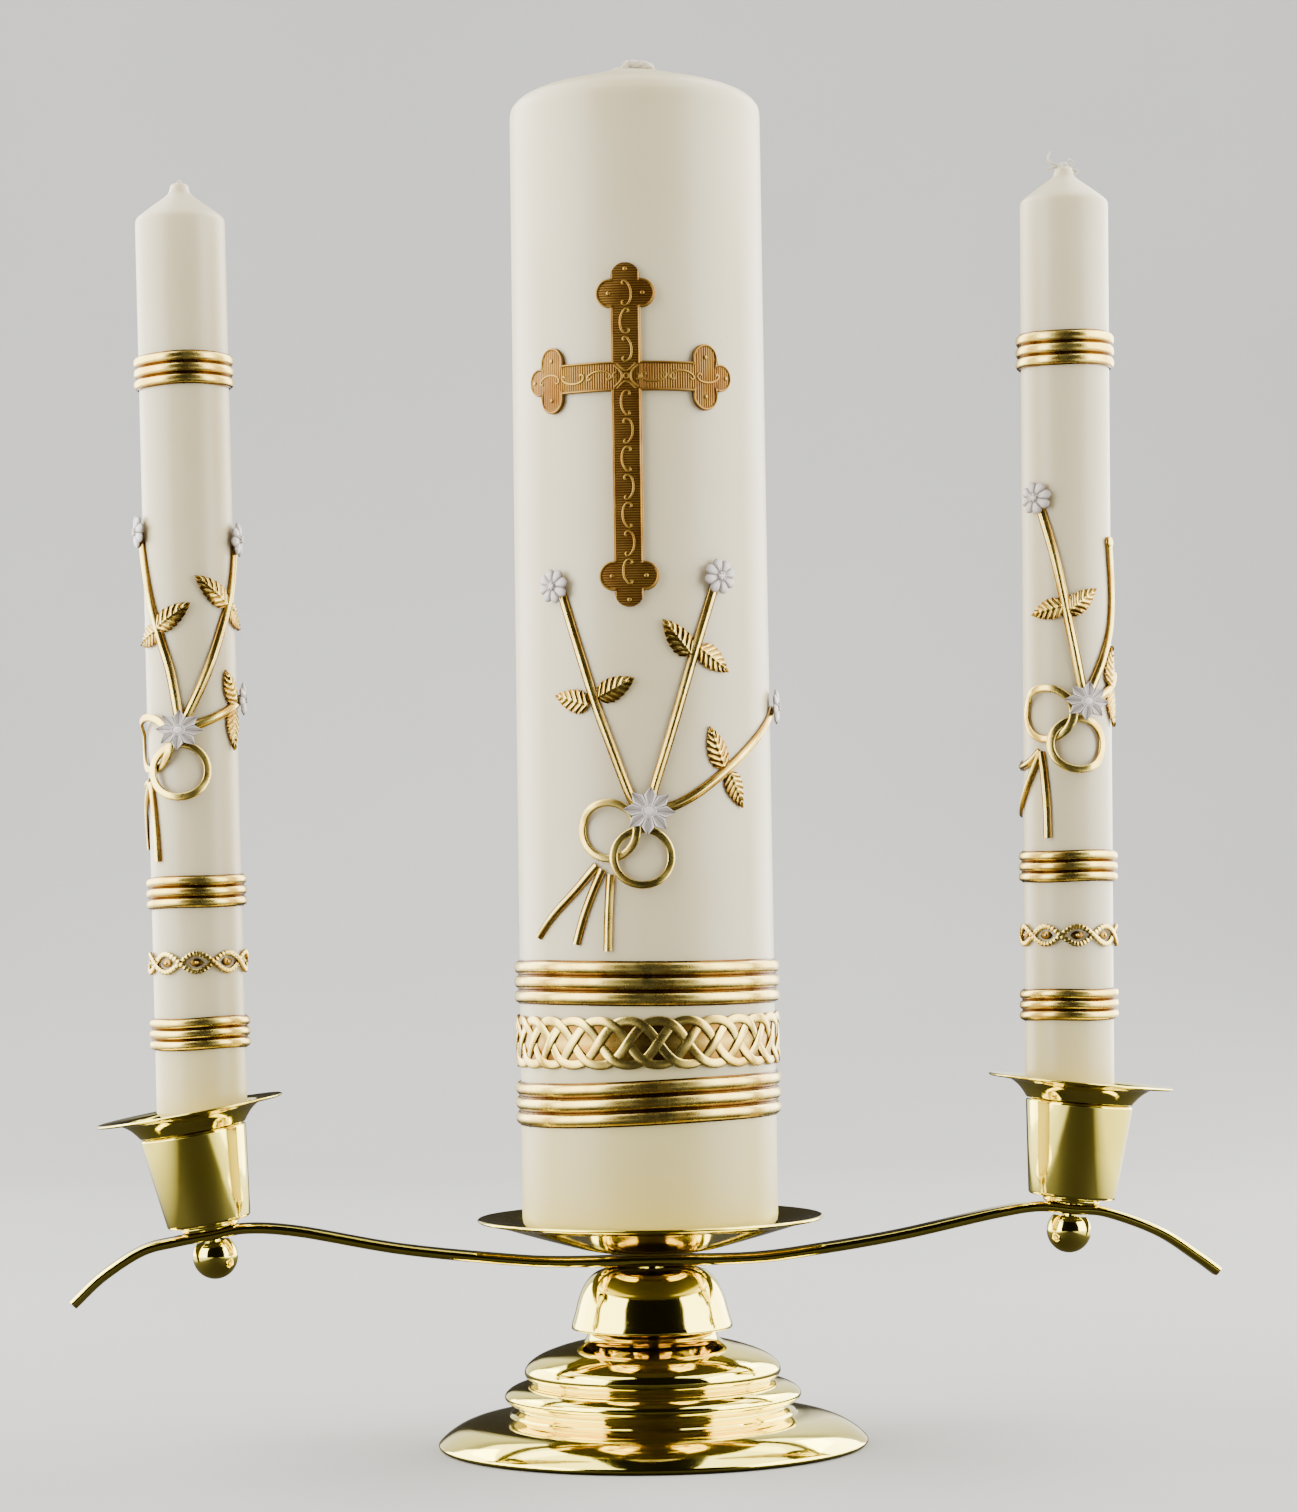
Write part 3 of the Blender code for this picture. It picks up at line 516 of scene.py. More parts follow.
def stand(brass):
    """Stepped foot, bell and pillar plate: (radius, height) and a corner's own rounding."""
    foot = [(50.0, 0.05, 0.3), (53.0, 0.05, 0.8), (54.0, 1.1, 0.9), (51.9, 3.2, 1.5),
            (48.6, 5.4, 2.0), (44.6, 6.9, 2.2), (40.0, 7.7, 2.2), (36.0, 8.1, 0.3),
            (35.4, 8.9, 0.4), (33.4, 9.6, 0.4), (33.4, 10.3, 0.4), (35.8, 11.0, 0.8),
            (37.5, 12.7, 1.2), (35.9, 14.5, 1.4), (33.0, 15.7, 1.2), (30.2, 16.2, 0.3),
            (29.9, 16.7, 0.3), (31.4, 17.1, 0.7), (32.3, 18.6, 1.2), (31.3, 20.8, 2.0),
            (28.1, 22.9, 2.2), (22.8, 24.8, 2.4), (16.7, 26.3, 1.2), (15.9, 29.0, 0.5),
            (3.4, 29.0, 0.1), (3.4, 27.8, 0.1), (14.2, 27.8), (15.4, 25.2), (22.2, 23.4),
            (27.2, 21.7), (29.6, 19.2), (28.2, 17.0), (28.6, 14.6), (34.8, 12.7), (32.0, 10.6),
            (32.0, 9.2), (34.6, 7.2), (39.8, 6.5), (47.6, 4.3), (50.6, 2.2, 0.3)]
    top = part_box("base_bell")[1].z / MM
    bell = [(18.9, 29.3, 0.2), (20.2, 29.3, 0.4), (20.1, 30.4, 0.6), (19.1, 33.6, 2.0),
            (18.2, 37.4, 2.4), (16.6, 40.8, 2.4), (14.2, 43.4, 1.8), (10.4, top, 1.2),
            (3.3, top, 0.1), (3.3, top - 1.2, 0.1), (9.6, top - 1.2), (13.4, 42.2), (15.6, 39.8),
            (17.1, 36.6), (18.5, 31.2)]
    plate = [(3.3, 47.8, 0.1), (10.0, 47.9, 2.0), (17.0, 49.1, 3.0), (28.0, 52.2, 4.0),
             (38.3, 55.3, 1.2), (43.0, 56.2, 0.4), (43.5, 56.7, 0.4), (43.0, 57.2, 0.4),
             (38.2, 56.3, 1.2), (28.0, 53.3, 4.0), (17.0, 50.1, 3.0), (10.0, 49.2, 2.0),
             (3.3, 49.1, 0.1)]
    for node, outline in (("base_foot", foot), ("base_bell", bell), ("pillar_plate", plate)):
        spun(node, rounded(outline, 1.0), BASE_SEGS, brass, "stand")


def arm_top():
    """Top edge of the arm: level in the middle, square to each cup under it."""
    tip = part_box("arm")[1].x / MM
    points = [(-tip, 39.3), (-137.1, 46.1), (-127.2, 52.3)]
    for side in ("left", "right"):
        place = cup_frame(side)
        for along in (-9.0, 0.0, 9.0):
            seat = place @ (Vector((along, 0.0, -CUP_SEAT)) * MM) / MM
            points.append((seat.x, seat.z))
        if side == "left":
            points += [(-87.6, 56.4), (-62.8, 51.6), (-37.9, 48.6), (-22.9, 47.5), (0.0, 47.5),
                       (24.9, 47.5), (42.7, 49.4), (63.0, 52.5), (86.0, 57.2)]
    points += [(129.5, 51.8), (139.6, 45.1), (tip, 41.4)]
    return points


def bent_arm(brass):
    """Bar with a crowned top and bottom, rounded edges and square cut ends."""
    path = smooth_path([(x, 0.0, z) for x, z in arm_top()], 10)
    sides = 24
    rows = []
    for i, point in enumerate(path):
        run = (path[min(i + 1, len(path) - 1)] - path[max(i - 1, 0)]).normalized()
        up = Vector((-run.z, 0.0, run.x))
        middle = point - up * ARM_HALF_THICK
        clamped = exp(-(point.x / CLAMP_REACH) ** 4)
        square_y = 0.45 - 0.25 * clamped
        square_t = 0.62 - 0.42 * clamped
        belly = 1 + 0.18 * clamped
        row = []
        for k in range(sides):
            angle = tau * (k + 0.5) / sides
            cosine, sine = cos(angle), sin(angle)
            y = copysign(abs(cosine) ** square_y, cosine) * ARM_HALF_WIDE
            t = copysign(abs(sine) ** square_t, sine) * ARM_HALF_THICK
            if t < 0:
                t *= belly
            row.append(middle + Vector((0.0, y, 0.0)) + up * t)
        rows.append(row)
    shape = Shape()
    shape.grid(rows, [[1.0] * sides] * len(rows), around=True, ends=True)
    piece("arm_bar", shape, brass, "arm", ["arm"])


def cup_set(side, brass):
    """Cup with its collar, drip pan, and the ball nut on the stud under it."""
    place = cup_frame(side)
    low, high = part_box(side + "_cup")
    r1 = (high.y - low.y) / 2 / MM
    tall = {"left": 23.0, "right": 23.9}[side]
    r0 = r1 - {"left": 2.8, "right": 2.5}[side]
    middle = (r0 + r1) / 2
    cup = [(2.3, -1.5, 0.1), (6.8, -1.5, 0.4), (7.4, -0.8, 0.5), (6.9, -0.15, 0.3),
           (r0 - 0.5, 0.0, 0.25), (r0, 0.45, 0.3), (middle, tall * 0.5, 0.5), (r1, tall - 0.4, 0.3),
           (r1 - 0.3, tall, 0.15), (r1 - 1.0, tall, 0.2), (middle - 1.1, tall * 0.5, 0.5),
           (r0 - 1.3, 1.9), (2.3, 1.2, 0.1)]
    pan = [(r1 - 2.5, tall - 2.5, 0.1), (r1 - 1.8, tall - 2.5, 0.1), (r1 - 1.8, tall + 0.3, 0.1),
           (r1 - 0.1, tall + 0.3, 0.2), (r1 + 0.6, tall + 1.3, 0.8), (r1 + 2.1, tall + 3.1, 1.2),
           (r1 + 4.2, tall + 4.5, 1.0), (22.9, tall + 4.9, 0.3), (23.5, tall + 5.3, 0.3),
           (23.0, tall + 5.7, 0.3), (r1 + 3.5, tall + 5.2, 1.0), (r1 + 1.5, tall + 3.2, 0.8),
           (r1 - 0.9, tall + 0.5, 0.5), (r1 - 2.5, tall - 0.2, 0.3)]
    flat = 3.8  # the ball's top is cut off at this height
    steps = 32
    start = asin(flat / BALL_R)
    ball = [(0.0, -2.0), (2.3, -2.0), (2.3, flat)]
    for k in range(steps):
        angle = start - (start + pi / 2) * k / steps
        ball.append((BALL_R * cos(angle), BALL_R * sin(angle)))
    ball.append((0.0, -BALL_R))
    spun(side + "_cup", rounded(cup, 0.6), CUP_SEGS, brass, "arm", place)
    spun(side + "_drip_pan", rounded(pan, 0.5), CUP_SEGS, brass, "arm", place)
    shape = Shape()
    shape.lathe(ball, BALL_SEGS)
    drop = place @ Matrix.Translation((0.0, 0.0, -BALL_DROP * MM))
    piece(side + "_ball_turned", shape, brass, side + "_ball", [side + "_ball_nut"], drop)


# ---- wax and wicks

def pillar_body(wax):
    """Pillar with a rounded foot, a straight wall and a low dome."""
    dome = smooth_path([(31.7, 333.0), (31.62, 335.0), (31.1, 336.7), (29.3, 338.6), (26.3, 340.2),
                        (21.8, 341.7), (16.0, 343.2), (10.7, 344.7), (5.4, 345.9),
                        (1.6, PILLAR_TOP)], 5)
    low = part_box("pillar_wax")[0].z / MM
    foot_r, foot_rise, wall_top, courses = 32.0, 2.6, 332.0, 40
    base = [(1.6, low), (30.2, low), (31.2, low + 0.35), (31.8, low + 1.2),
            (foot_r, low + foot_rise)]
    wall = [(foot_r - 0.3 * k / courses,
             low + foot_rise + (wall_top - low - foot_rise) * k / courses)
            for k in range(1, courses + 1)]
    shape = Shape()
    shape.lathe(base + wall + [(p.x, p.y) for p in dome], PILLAR_SEGS)
    for point in shape.points:
        # A mound by the wick
        if point.z > PILLAR_TOP - 4.0:
            point.z += 1.5 * exp(-(hypot(point.x + 3.6, point.y) / 2.6) ** 2)
        # The wall is never quite round
        if hypot(point.x, point.y) > 20.0:
            angle = atan2(point.y, point.x)
            swell = (1.0 + 0.0012 * sin(2 * angle + point.z / 70.0)
                     + 0.0008 * sin(5 * angle - point.z / 31.0))
            point.x *= swell
            point.y *= swell
    piece("pillar_cast_wax", shape, wax, "pillar", ["pillar_wax"])


def braided(shape, path, reach, swing):
    """Three round strands plaited along a path in the X-Z plane."""
    strands = 3
    count = len(path)
    for s in range(strands):
        points = []
        for i, point in enumerate(path):
            turn = tau * (i / 10.0 + s / strands)
            run = (path[min(i + 1, count - 1)] - path[max(i - 1, 0)]).normalized()
            out = Vector((-run.z, 0.0, run.x))
            sway = Vector((0, swing * sin(turn), 0))
            points.append(point + sway + out * swing * 0.45 * sin(2 * turn))
        tube(shape, points, lambda t: reach * (0.9 + 0.1 * cos(9.0 * t)))


def pillar_wick(cotton):
    top = PILLAR_TOP
    path = smooth_path([(-2.2, 0, top - 1.5), (-2.3, 0, top + 0.9), (-1.5, 0, top + 2.2),
                         (0.3, 0, top + 2.2), (2.2, 0, top + 1.9), (3.7, 0, top + 1.6),
                         (4.6, 0, top + 0.7)], 8)
    shape = Shape()
    braided(shape, path, 0.85, 0.8)
    piece("pillar_wick_plaited", shape, cotton, "pillar", ["pillar_wick"])


def taper_body(side, wax):
    """Taper with a thin butt in the cup, a straight wall and a pointed crown."""
    low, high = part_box(side + "_taper_wax")
    seat = low.z / MM + 0.15
    tip = high.z / MM
    shoulder = tip - 9.5
    rim = {"left": 85.05, "right": 87.95}[side]
    courses = 40
    profile = [(1.0, seat), (6.8, seat), (7.5, seat + 1.0), (7.5, rim - 3.0),
               (TAPER_R - 0.1, rim), (TAPER_R, rim + 0.4)]
    profile += [(TAPER_R, rim + (shoulder - rim) * k / courses) for k in range(1, courses)]
    crown = [(TAPER_R, -1.0), (TAPER_R - 0.15, 0.0), (10.4, 0.9), (8.0, 2.8), (4.6, 5.3), (2.9, 6.7),
             (2.45, 7.8), (2.1, 8.9), (1.2, 9.4)]
    profile += [(p.x, p.y) for p in smooth_path([(r, shoulder + rise) for r, rise in crown], 4)]
    shape = Shape()
    shape.lathe(profile + [(1.0, tip - 0.1)], TAPER_SEGS)
    piece(side + "_taper_cast_wax", shape, wax, side + "_taper", [side + "_taper_wax"],
          taper_frame(side))


def taper_wick(side, cotton):
    """The left wick is trimmed short; the right one is frayed into strands."""
    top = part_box(side + "_taper_wax")[1].z / MM
    shape = Shape()
    if side == "left":
        path = smooth_path([(0, 0, top - 2.0), (0, 0, top - 0.4), (0.1, 0, top + 0.35)], 5)
        braided(shape, path, 0.62, 0.35)
    else:
        core = smooth_path([(0.2, 0, top - 2.0), (0.1, 0, top - 0.4), (0.2, 0, top + 0.5)], 6)
        braided(shape, core, 0.75, 0.75)
        frays = [[(-1.0, 0, -0.6), (-2.0, -0.2, 0.3), (-3.2, -0.3, 0.7), (-3.95, -0.1, 1.6),
                  (-3.9, 0, 2.6), (-3.3, 0, 3.7)],
                 [(-1.0, -0.3, -0.6), (-2.4, -0.6, -0.3), (-3.6, -0.6, -0.7), (-4.5, -0.5, -1.1)],
                 [(0.6, 0, -0.6), (1.9, 0.3, 0.4), (2.6, 0.3, 0.9), (2.1, 0.2, 1.5), (1.3, 0, 1.9)],
                 [(0.7, -0.3, -0.8), (2.2, -0.5, -0.9), (3.6, -0.5, -1.3), (2.7, -0.4, -2.0)],
                 [(-0.3, 0.5, -0.4), (-0.8, 0.9, 0.5), (-0.5, 1.1, 1.2)]]
        for points in frays:
            track = smooth_path([(x, y, top + z) for x, y, z in points], 6)
            tube(shape, track, lambda t: 0.42 - 0.16 * t, 7)
    piece(side + "_wick_tuft", shape, cotton, side + "_taper", [side + "_taper_wick"],
          taper_frame(side))


# ---- bands, plait and braids

def ribs(name, radius, middle, height, out, segs, tilt, gold, body, place=None):
    """Three round ribs pressed in one band, with a fine thread in the floor between them."""
    pitch = height / 3
    inner = radius + SKIN + 0.15
    sunk = 0.55
    floor = radius + sunk
    outline = [(inner, middle - height / 2), (floor - 0.1, middle - height / 2)]
    relief = [0.0, 0.05]
    steps = 10
    for k in range(3):
        centre = middle - height / 2 + pitch * (k + 0.5)
        for i in range(steps + 1):
            angle = pi * (i / steps - 0.5)
            outline.append((floor + (out - sunk) * cos(angle) ** 0.8,
                            centre + 0.405 * pitch * sin(angle)))
            relief.append(0.1 + 0.9 * cos(angle) ** 0.6)
        if k < 2:
            thread = centre + pitch / 2
            outline += [(floor, thread - 0.2), (floor + 0.2, thread), (floor, thread + 0.2)]
            relief += [0.05, 0.5, 0.05]
    outline += [(floor - 0.1, middle + height / 2), (inner, middle + height / 2)]
    relief += [0.05, 0.0]
    shape = Shape()
    # The band is not quite level: it tilts and sways
    shape.lathe(outline, segs, relief,
                lambda a: tilt * cos(a) + 0.12 * sin(3 * a + middle))
    gilt(name, "_ribs", shape, gold, body, place)


def flat_cord(half, thick, steps=10):
    """Section of a pressed cord: a shallow crown over a flat back."""
    points = [(-half, -thick / 2), (half, -thick / 2)]
    for k in range(steps + 1):
        angle = pi * k / steps
        rise = thick / 2 * sin(angle) ** 0.45 if 0 < k < steps else 0.0
        points.append((half * cos(angle), rise))
    return points


def plait(gold):
    """Four flat strands, each over one neighbour and under the next."""
    radius = PILLAR_R
    low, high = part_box("plait_band")
    middle = (low.z + high.z) / 2 / MM
    turns = 7
    steps = turns * 56
    strands = 4
    swing = 5.7
    half_floor = 5.0
    # Phase in degrees where a strand is on top of another (1) or beneath it (-1)
    crossings = ((0, 1), (45, -1), (135, 1), (180, -1), (225, 1), (315, -1), (360, 1))
    shape = Shape(radius)
    for k in range(strands):
        path = []
        for i in range(steps):
            t = i / steps
            phase = (turns * t + k / strands) * 360
            wave = sin(radians(phase)) + 0.06 * sin(radians(3 * phase))
            v = middle + swing * wave
            phase %= 360
            for (a, over_a), (b, over_b) in zip(crossings, crossings[1:]):
                if a <= phase <= b:
                    blend = 0.5 - 0.5 * cos(pi * (phase - a) / (b - a))
                    lift = over_a + (over_b - over_a) * blend
            path.append((tau * radius * t, v, 0.80 + 0.22 * lift))
        cord(shape, path, flat_cord(1.14, 0.84), closed=True)
    low, high = middle - half_floor, middle + half_floor
    floor = [(radius + SKIN + 0.15, low), (radius + 0.72, low), (radius + 0.74, middle),
             (radius + 0.72, high), (radius + SKIN + 0.15, high)]
    shape.lathe(floor, PILLAR_SEGS, [0.0, 0.1, 0.55, 0.1, 0.0])
    gilt("plait_band", "_woven", shape, gold, "pillar")


def twist(side, gold):
    """Two beaded strands that cross nine times round the taper, a bead in each eyelet."""
    radius = TAPER_R
    place = taper_frame(side)
    middle = level_in(place, *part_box(side + "_braid"))
    crossings = 9
    belt = tau * radius
    steps = crossings * 48
    shape = Shape(radius)
    path = []
    for i in range(2 * steps):
        t = i / steps
        phase = t * crossings * pi
        path.append(((t % 1.0) * belt, middle + 2.2 * cos(phase), 0.75 + 0.22 * sin(phase)))
    cord(shape, path, flat_cord(0.62, 0.7, 8), closed=True,
         scale=lambda i: 1.0 + 0.16 * sin(tau * i / 5.0))
    for k in range(crossings):
        u = belt * k / crossings
        for across, high_w in ((1.7, 0.62), (0.75, 0.95)):
            strip(shape, [(u + across * (2 * j / 8 - 1), middle) for j in range(9)],
                  lambda t, a=across: max(0.08, 0.62 * a * sin(pi * t) ** 0.6),
                  lambda t, x, h=high_w: SKIN + (h - SKIN) * max(0.0, sin(pi * t))
                  * (1 - 0.5 * x * x), 6)
    gilt(side + "_braid", "_twisted", shape, gold, side + "_taper", place)


# ---- cross

def lobes(limb):
    """Ellipses (x, s, across, along) at the end of a limb: two side lobes and the end lobe."""
    length, out, across, along = LIMBS[limb]
    side = length - LOBE_BACK
    return [(-out, side, across, along), (out, side, across, along),
            (0.0, length - END_R, END_R, END_R)]


def limb_half(limb, s):
    """Half width of a limb s millimetres from the crossing."""
    wide = LIMB if s < LIMBS[limb][0] - BAR_STOP else TIP_HALF
    for x, centre, across, along in lobes(limb):
        inside = 1 - ((s - centre) / along) ** 2
        if inside > 0:
            wide = max(wide, abs(x) + across * sqrt(inside))
    return wide


def depth_in_limb(limb, x, s):
    """How far a point lies inside the outline of one limb."""
    deep = min(LIMB - abs(x), LIMBS[limb][0] - FIELD_STOP - s)
    for cx, cs, across, along in lobes(limb):
        deep = max(deep, (1 - hypot((x - cx) / across, (s - cs) / along)) * min(across, along))
    return deep


def cross_surface(u, v):
    """Height and relief on the cross: a rolled rim that falls to a ruled field."""
    options = [("up", u, v, v), ("down", -u, -v, v), ("side", v, abs(u), u)]
    limb, x, s, along = max(options, key=lambda o: depth_in_limb(*o[:3]))
    deep = max(0.0, depth_in_limb(limb, x, s))
    if deep < RIM:
        rise = sin(pi * min(1.0, 0.12 + 0.88 * deep / RIM)) ** 0.8
        return 0.92 + 0.34 * rise, 0.25 + 0.50 * rise
    # In the field the relief sets the colour: the rules' valleys get painted shade and read darker
    # than their crests.
    wave = 0.5 + 0.5 * sin(tau * along / RULE_PITCH)
    return 0.90 + 0.12 * wave, 0.22 + 0.48 * wave


# One scroll of the running vine on a limb: it curls in at both ends, (across, along) in millimetres
SCROLL = [(-0.35, 1.50), (-0.80, 1.25), (-0.62, 0.62), (0.05, 0.42), (0.75, 0.85), (1.20, 1.80),
          (1.36, 3.10), (1.20, 4.50), (0.70, 5.60), (0.10, 6.30), (-0.50, 6.35), (-0.72, 5.85),
          (-0.35, 5.50)]
# Rosette where the limbs cross: brackets that turn their backs on a centre ring
BRACKETS = [[(-2.9, 2.7), (-1.5, 1.4), (-1.05, 0.0), (-1.5, -1.4), (-2.9, -2.7)],
            [(-2.3, 3.1), (-0.9, 1.7), (0.0, 1.3), (0.9, 1.7), (2.3, 3.1)],
            [(-2.3, 0.9), (-3.1, 0.6), (-3.0, -0.3), (-2.4, -0.3)]]


def vine(shape):
    """Scrolls, dots and the rosette, raised on the ruled field."""
    section = [(-0.27, 0.0), (0.27, 0.0), (0.25, 0.13), (0.13, 0.24), (-0.13, 0.24), (-0.25, 0.13)]

    def to_cross(limb, x, s):
        u, v = {"up": (x, s), "down": (-x, -s), "left": (-s, x), "right": (s, -x)}[limb]
        return (CROSS_AT[0] + u, CROSS_AT[1] + v, VINE_FOOT)

    def scroll(limb, points):
        cord(shape, smooth_path([to_cross(limb, x, s) for x, s in points], 3), section)

    for limb, count in (("up", 3), ("down", 7), ("left", 3), ("right", 3)):
        for k in range(count):
            hand = -1 if k % 2 else 1
            start = 3.2 + SCROLL_PITCH * k
            scroll(limb, [(x * hand, start + s) for x, s in SCROLL])
        for x, s, _, _ in lobes(limb if limb in LIMBS else "side"):
            u, v, w = to_cross(limb, x * 1.08, s + (1.7 if x == 0.0 else 0.0))
            button(shape, (u, v), 0.52, w, 1.32)
    for mirror in (1, -1):
        for points in BRACKETS:
            scroll("up", [(x * mirror, y * mirror) for x, y in points])
    circle = [to_cross("up", 0.62 * cos(a), 0.62 * sin(a)) for a in compass(16)]
    cord(shape, circle, section, closed=True, scale=lambda i: 0.7)


def cross(gold):
    """Cross pressed from thin sheet: its shaft, then an arm on each side of it."""
    shape = Shape(PILLAR_R)
    columns = 46
    step = RULE_PITCH / 6
    tip = 0.05

    def on_cross(u, v, w):
        return on_wax(CROSS_AT[0] + u, CROSS_AT[1] + v, w, PILLAR_R)

    for limb, first, last in (("shaft", tip - LIMBS["down"][0], LIMBS["up"][0] - tip),
                              ("arm", tip - LIMBS["side"][0], -LIMB),
                              ("arm", LIMB, LIMBS["side"][0] - tip)):
        rows = []
        heights = []
        count = round((last - first) / step)
        for i in range(count + 1):
            s = first + (last - first) * i / count
            half = limb_half("side" if limb == "arm" else ("up" if s > 0 else "down"), abs(s))
            across = [half * sin(pi / 2 * (2 * k / columns - 1))
                      for k in range(columns + 1)]
            spots = [(x, s) if limb == "shaft" else (s, x) for x in across]
            surface = [cross_surface(u, v) for u, v in spots]
            row = [on_cross(u, v, w) for (u, v), (w, _) in zip(spots, surface)]
            rows.append(row + [on_cross(u, v, SKIN) for u, v in (spots[-1], spots[0])])
            heights.append([tall for _, tall in surface] + [0.1, 0.1])
        shape.grid(rows, heights, around=True, ends=True)
    vine(shape)
    piece("cross_pressed", shape, gold, "pillar", ["cross"], sharp=60.0)


# ---- flowers, leaves, stems, rings

def roof(half, tall):
    """Section of a stem: two faces that meet in a soft ridge, with a fine rim along each edge."""
    right = [(half, 0.0), (half, 0.42 * tall), (0.92 * half, 0.52 * tall), (0.80 * half, 0.46 * tall),
             (0.68 * half, 0.60 * tall), (0.30 * half, 0.93 * tall), (0.10 * half, tall)]
    return [(-half, 0.0)] + right + [(-x, y) for x, y in reversed(right[1:])]


def ridged(shape, points, half, tall):
    """A ridged strip along (u, v) points, flat on the wax."""
    track = smooth_path([(u, v, SKIN) for u, v in points], 8)
    cord(shape, track, roof(half, tall))


def stem(shape, points):
    ridged(shape, points, 1.18, 1.12)


def leaf(shape, base, tip, width, low=SKIN):
    """Serrated leaf with a midrib and slanting veins."""
    count = 52
    veins = 6.5
    path = [(base[0] + (tip[0] - base[0]) * i / count, base[1] + (tip[1] - base[1]) * i / count)
            for i in range(count + 1)]

    def half(t):
        tooth = 1.0 + 0.15 * ((t * veins) % 1.0 - 0.5)
        return max(0.08, width / 2 * sin(pi * min(1.0, t + 0.02) ** 0.66) ** 0.72 * tooth)

    def height(t, x):
        dome = 0.30 * (1 - abs(x) ** 2.2)
        midrib = 0.26 * exp(-(x / 0.10) ** 2)
        vein = 0.36 * (0.5 + 0.5 * cos(tau * (veins * t - 1.35 * abs(x)))) ** 0.7
        return low + 0.22 + dome + midrib + vein

    strip(shape, path, half, height, 22, low + 0.1, low + 1.05)


def petal(centre, size, length, steps, bearing):
    """Path out from near a flower's centre; length is a share of the flower's size."""
    return [spoke(centre, (0.10 + length * i / steps) * size, bearing) for i in range(steps + 1)]


def daisy(shape, centre, size, low):
    """Eight plump round petals round a beaded button."""

    def half(t):
        tip = sqrt(max(0.0, 1 - max(0.0, (t - 0.62) / 0.385) ** 2))
        return max(0.05, size * (0.055 + 0.095 * min(1.0, t / 0.62)) * tip)

    def height(t, x):
        crease = 0.26 * exp(-(x / 0.22) ** 2) * (1 - t)
        plump = 0.75 * (1 - abs(x) ** 2.4) * sin(pi * (0.16 + 0.76 * t))
        return low + 0.25 + plump - crease

    for k in range(8):
        path = petal(centre, size, 0.40, 14, tau * (k + 0.3) / 8)
        strip(shape, path, half, height, 12, low, low + 1.0)
    button(shape, centre, 0.135 * size, low, low + 1.25)
    for bead in compass(6):
        button(shape, spoke(centre, 0.085 * size, bead), 0.035 * size, low + 0.8, low + 1.4)


def star(shape, centre, size, low):
    """Eight pointed petals with raised edges round a flat button with a rim."""

    def half(t):
        grown = min(1.0, t / 0.58)
        point = min(1.0, (1.02 - t) / 0.48)
        return max(0.05, size * (0.045 + 0.094 * grown) * point)

    def height(t, x):
        edge = 0.26 * exp(-((abs(x) - 0.80) / 0.14) ** 2)
        side = 0.50 * max(0.0, (abs(x) - 0.9) / 0.1)
        crease = 0.12 * exp(-(x / 0.12) ** 2)
        return low + 0.58 - 0.16 * t + 0.08 * abs(x) + edge - side - crease

    for turn in compass(8):
        path = petal(centre, size, 0.41, 16, turn - 0.08)
        strip(shape, path, half, height, 20, low + 0.15, low + 0.92)
    button(shape, centre, 0.135 * size, low, low + 0.95)
    rim = [(*spoke(centre, 0.135 * size, a), low + 0.55) for a in compass(24)]
    cord(shape, rim, [(0.16 * cos(a), 0.3 * sin(a)) for a in compass(8)], closed=True)


def button(shape, centre, reach, low, top):
    """Small dome on the wax."""
    rings = 7
    sides = 20
    courses = [(reach + 0.01, low, 0.1)]
    for i in range(rings + 1):
        angle = pi / 2 * i / rings
        rise = sin(angle)
        courses.append((reach * cos(angle) + 0.01, low + (top - low) * (0.35 + 0.65 * rise),
                        0.4 + 0.6 * rise))
    rows = [[on_wax(*spoke(centre, out, a), w, shape.radius) for a in compass(sides)]
            for out, w, _ in courses]
    shape.grid(rows, [[tall] * sides for _, _, tall in courses], around=True, ends=True)


def ring_pair(centre_a, centre_b, reach, radius):
    """Two interlocked wire rings, each over the other once and under it once."""
    gap = Vector((centre_b[0] - centre_a[0], centre_b[1] - centre_a[1]))
    bearing = atan2(gap.y, gap.x)
    crossing = sin(acos(gap.length / 2 / reach))
    section = []
    for angle in compass(18):
        flat = [copysign(abs(f) ** 0.62, f) for f in (cos(angle), sin(angle))]
        section.append((0.94 * flat[0], 0.46 * flat[1]))
    shapes = []
    for centre, over in ((centre_a, 1), (centre_b, -1)):
        path = []
        for angle in compass(120):
            rise = max(-1.0, min(1.0, 1.3 * sin(angle - bearing) / crossing))
            rise = sin(rise * pi / 2)
            path.append((*spoke(centre, reach, angle), 1.275 + over * 0.525 * rise))
        shape = Shape(radius)
        cord(shape, path, section, closed=True)
        shapes.append(shape)
    return shapes


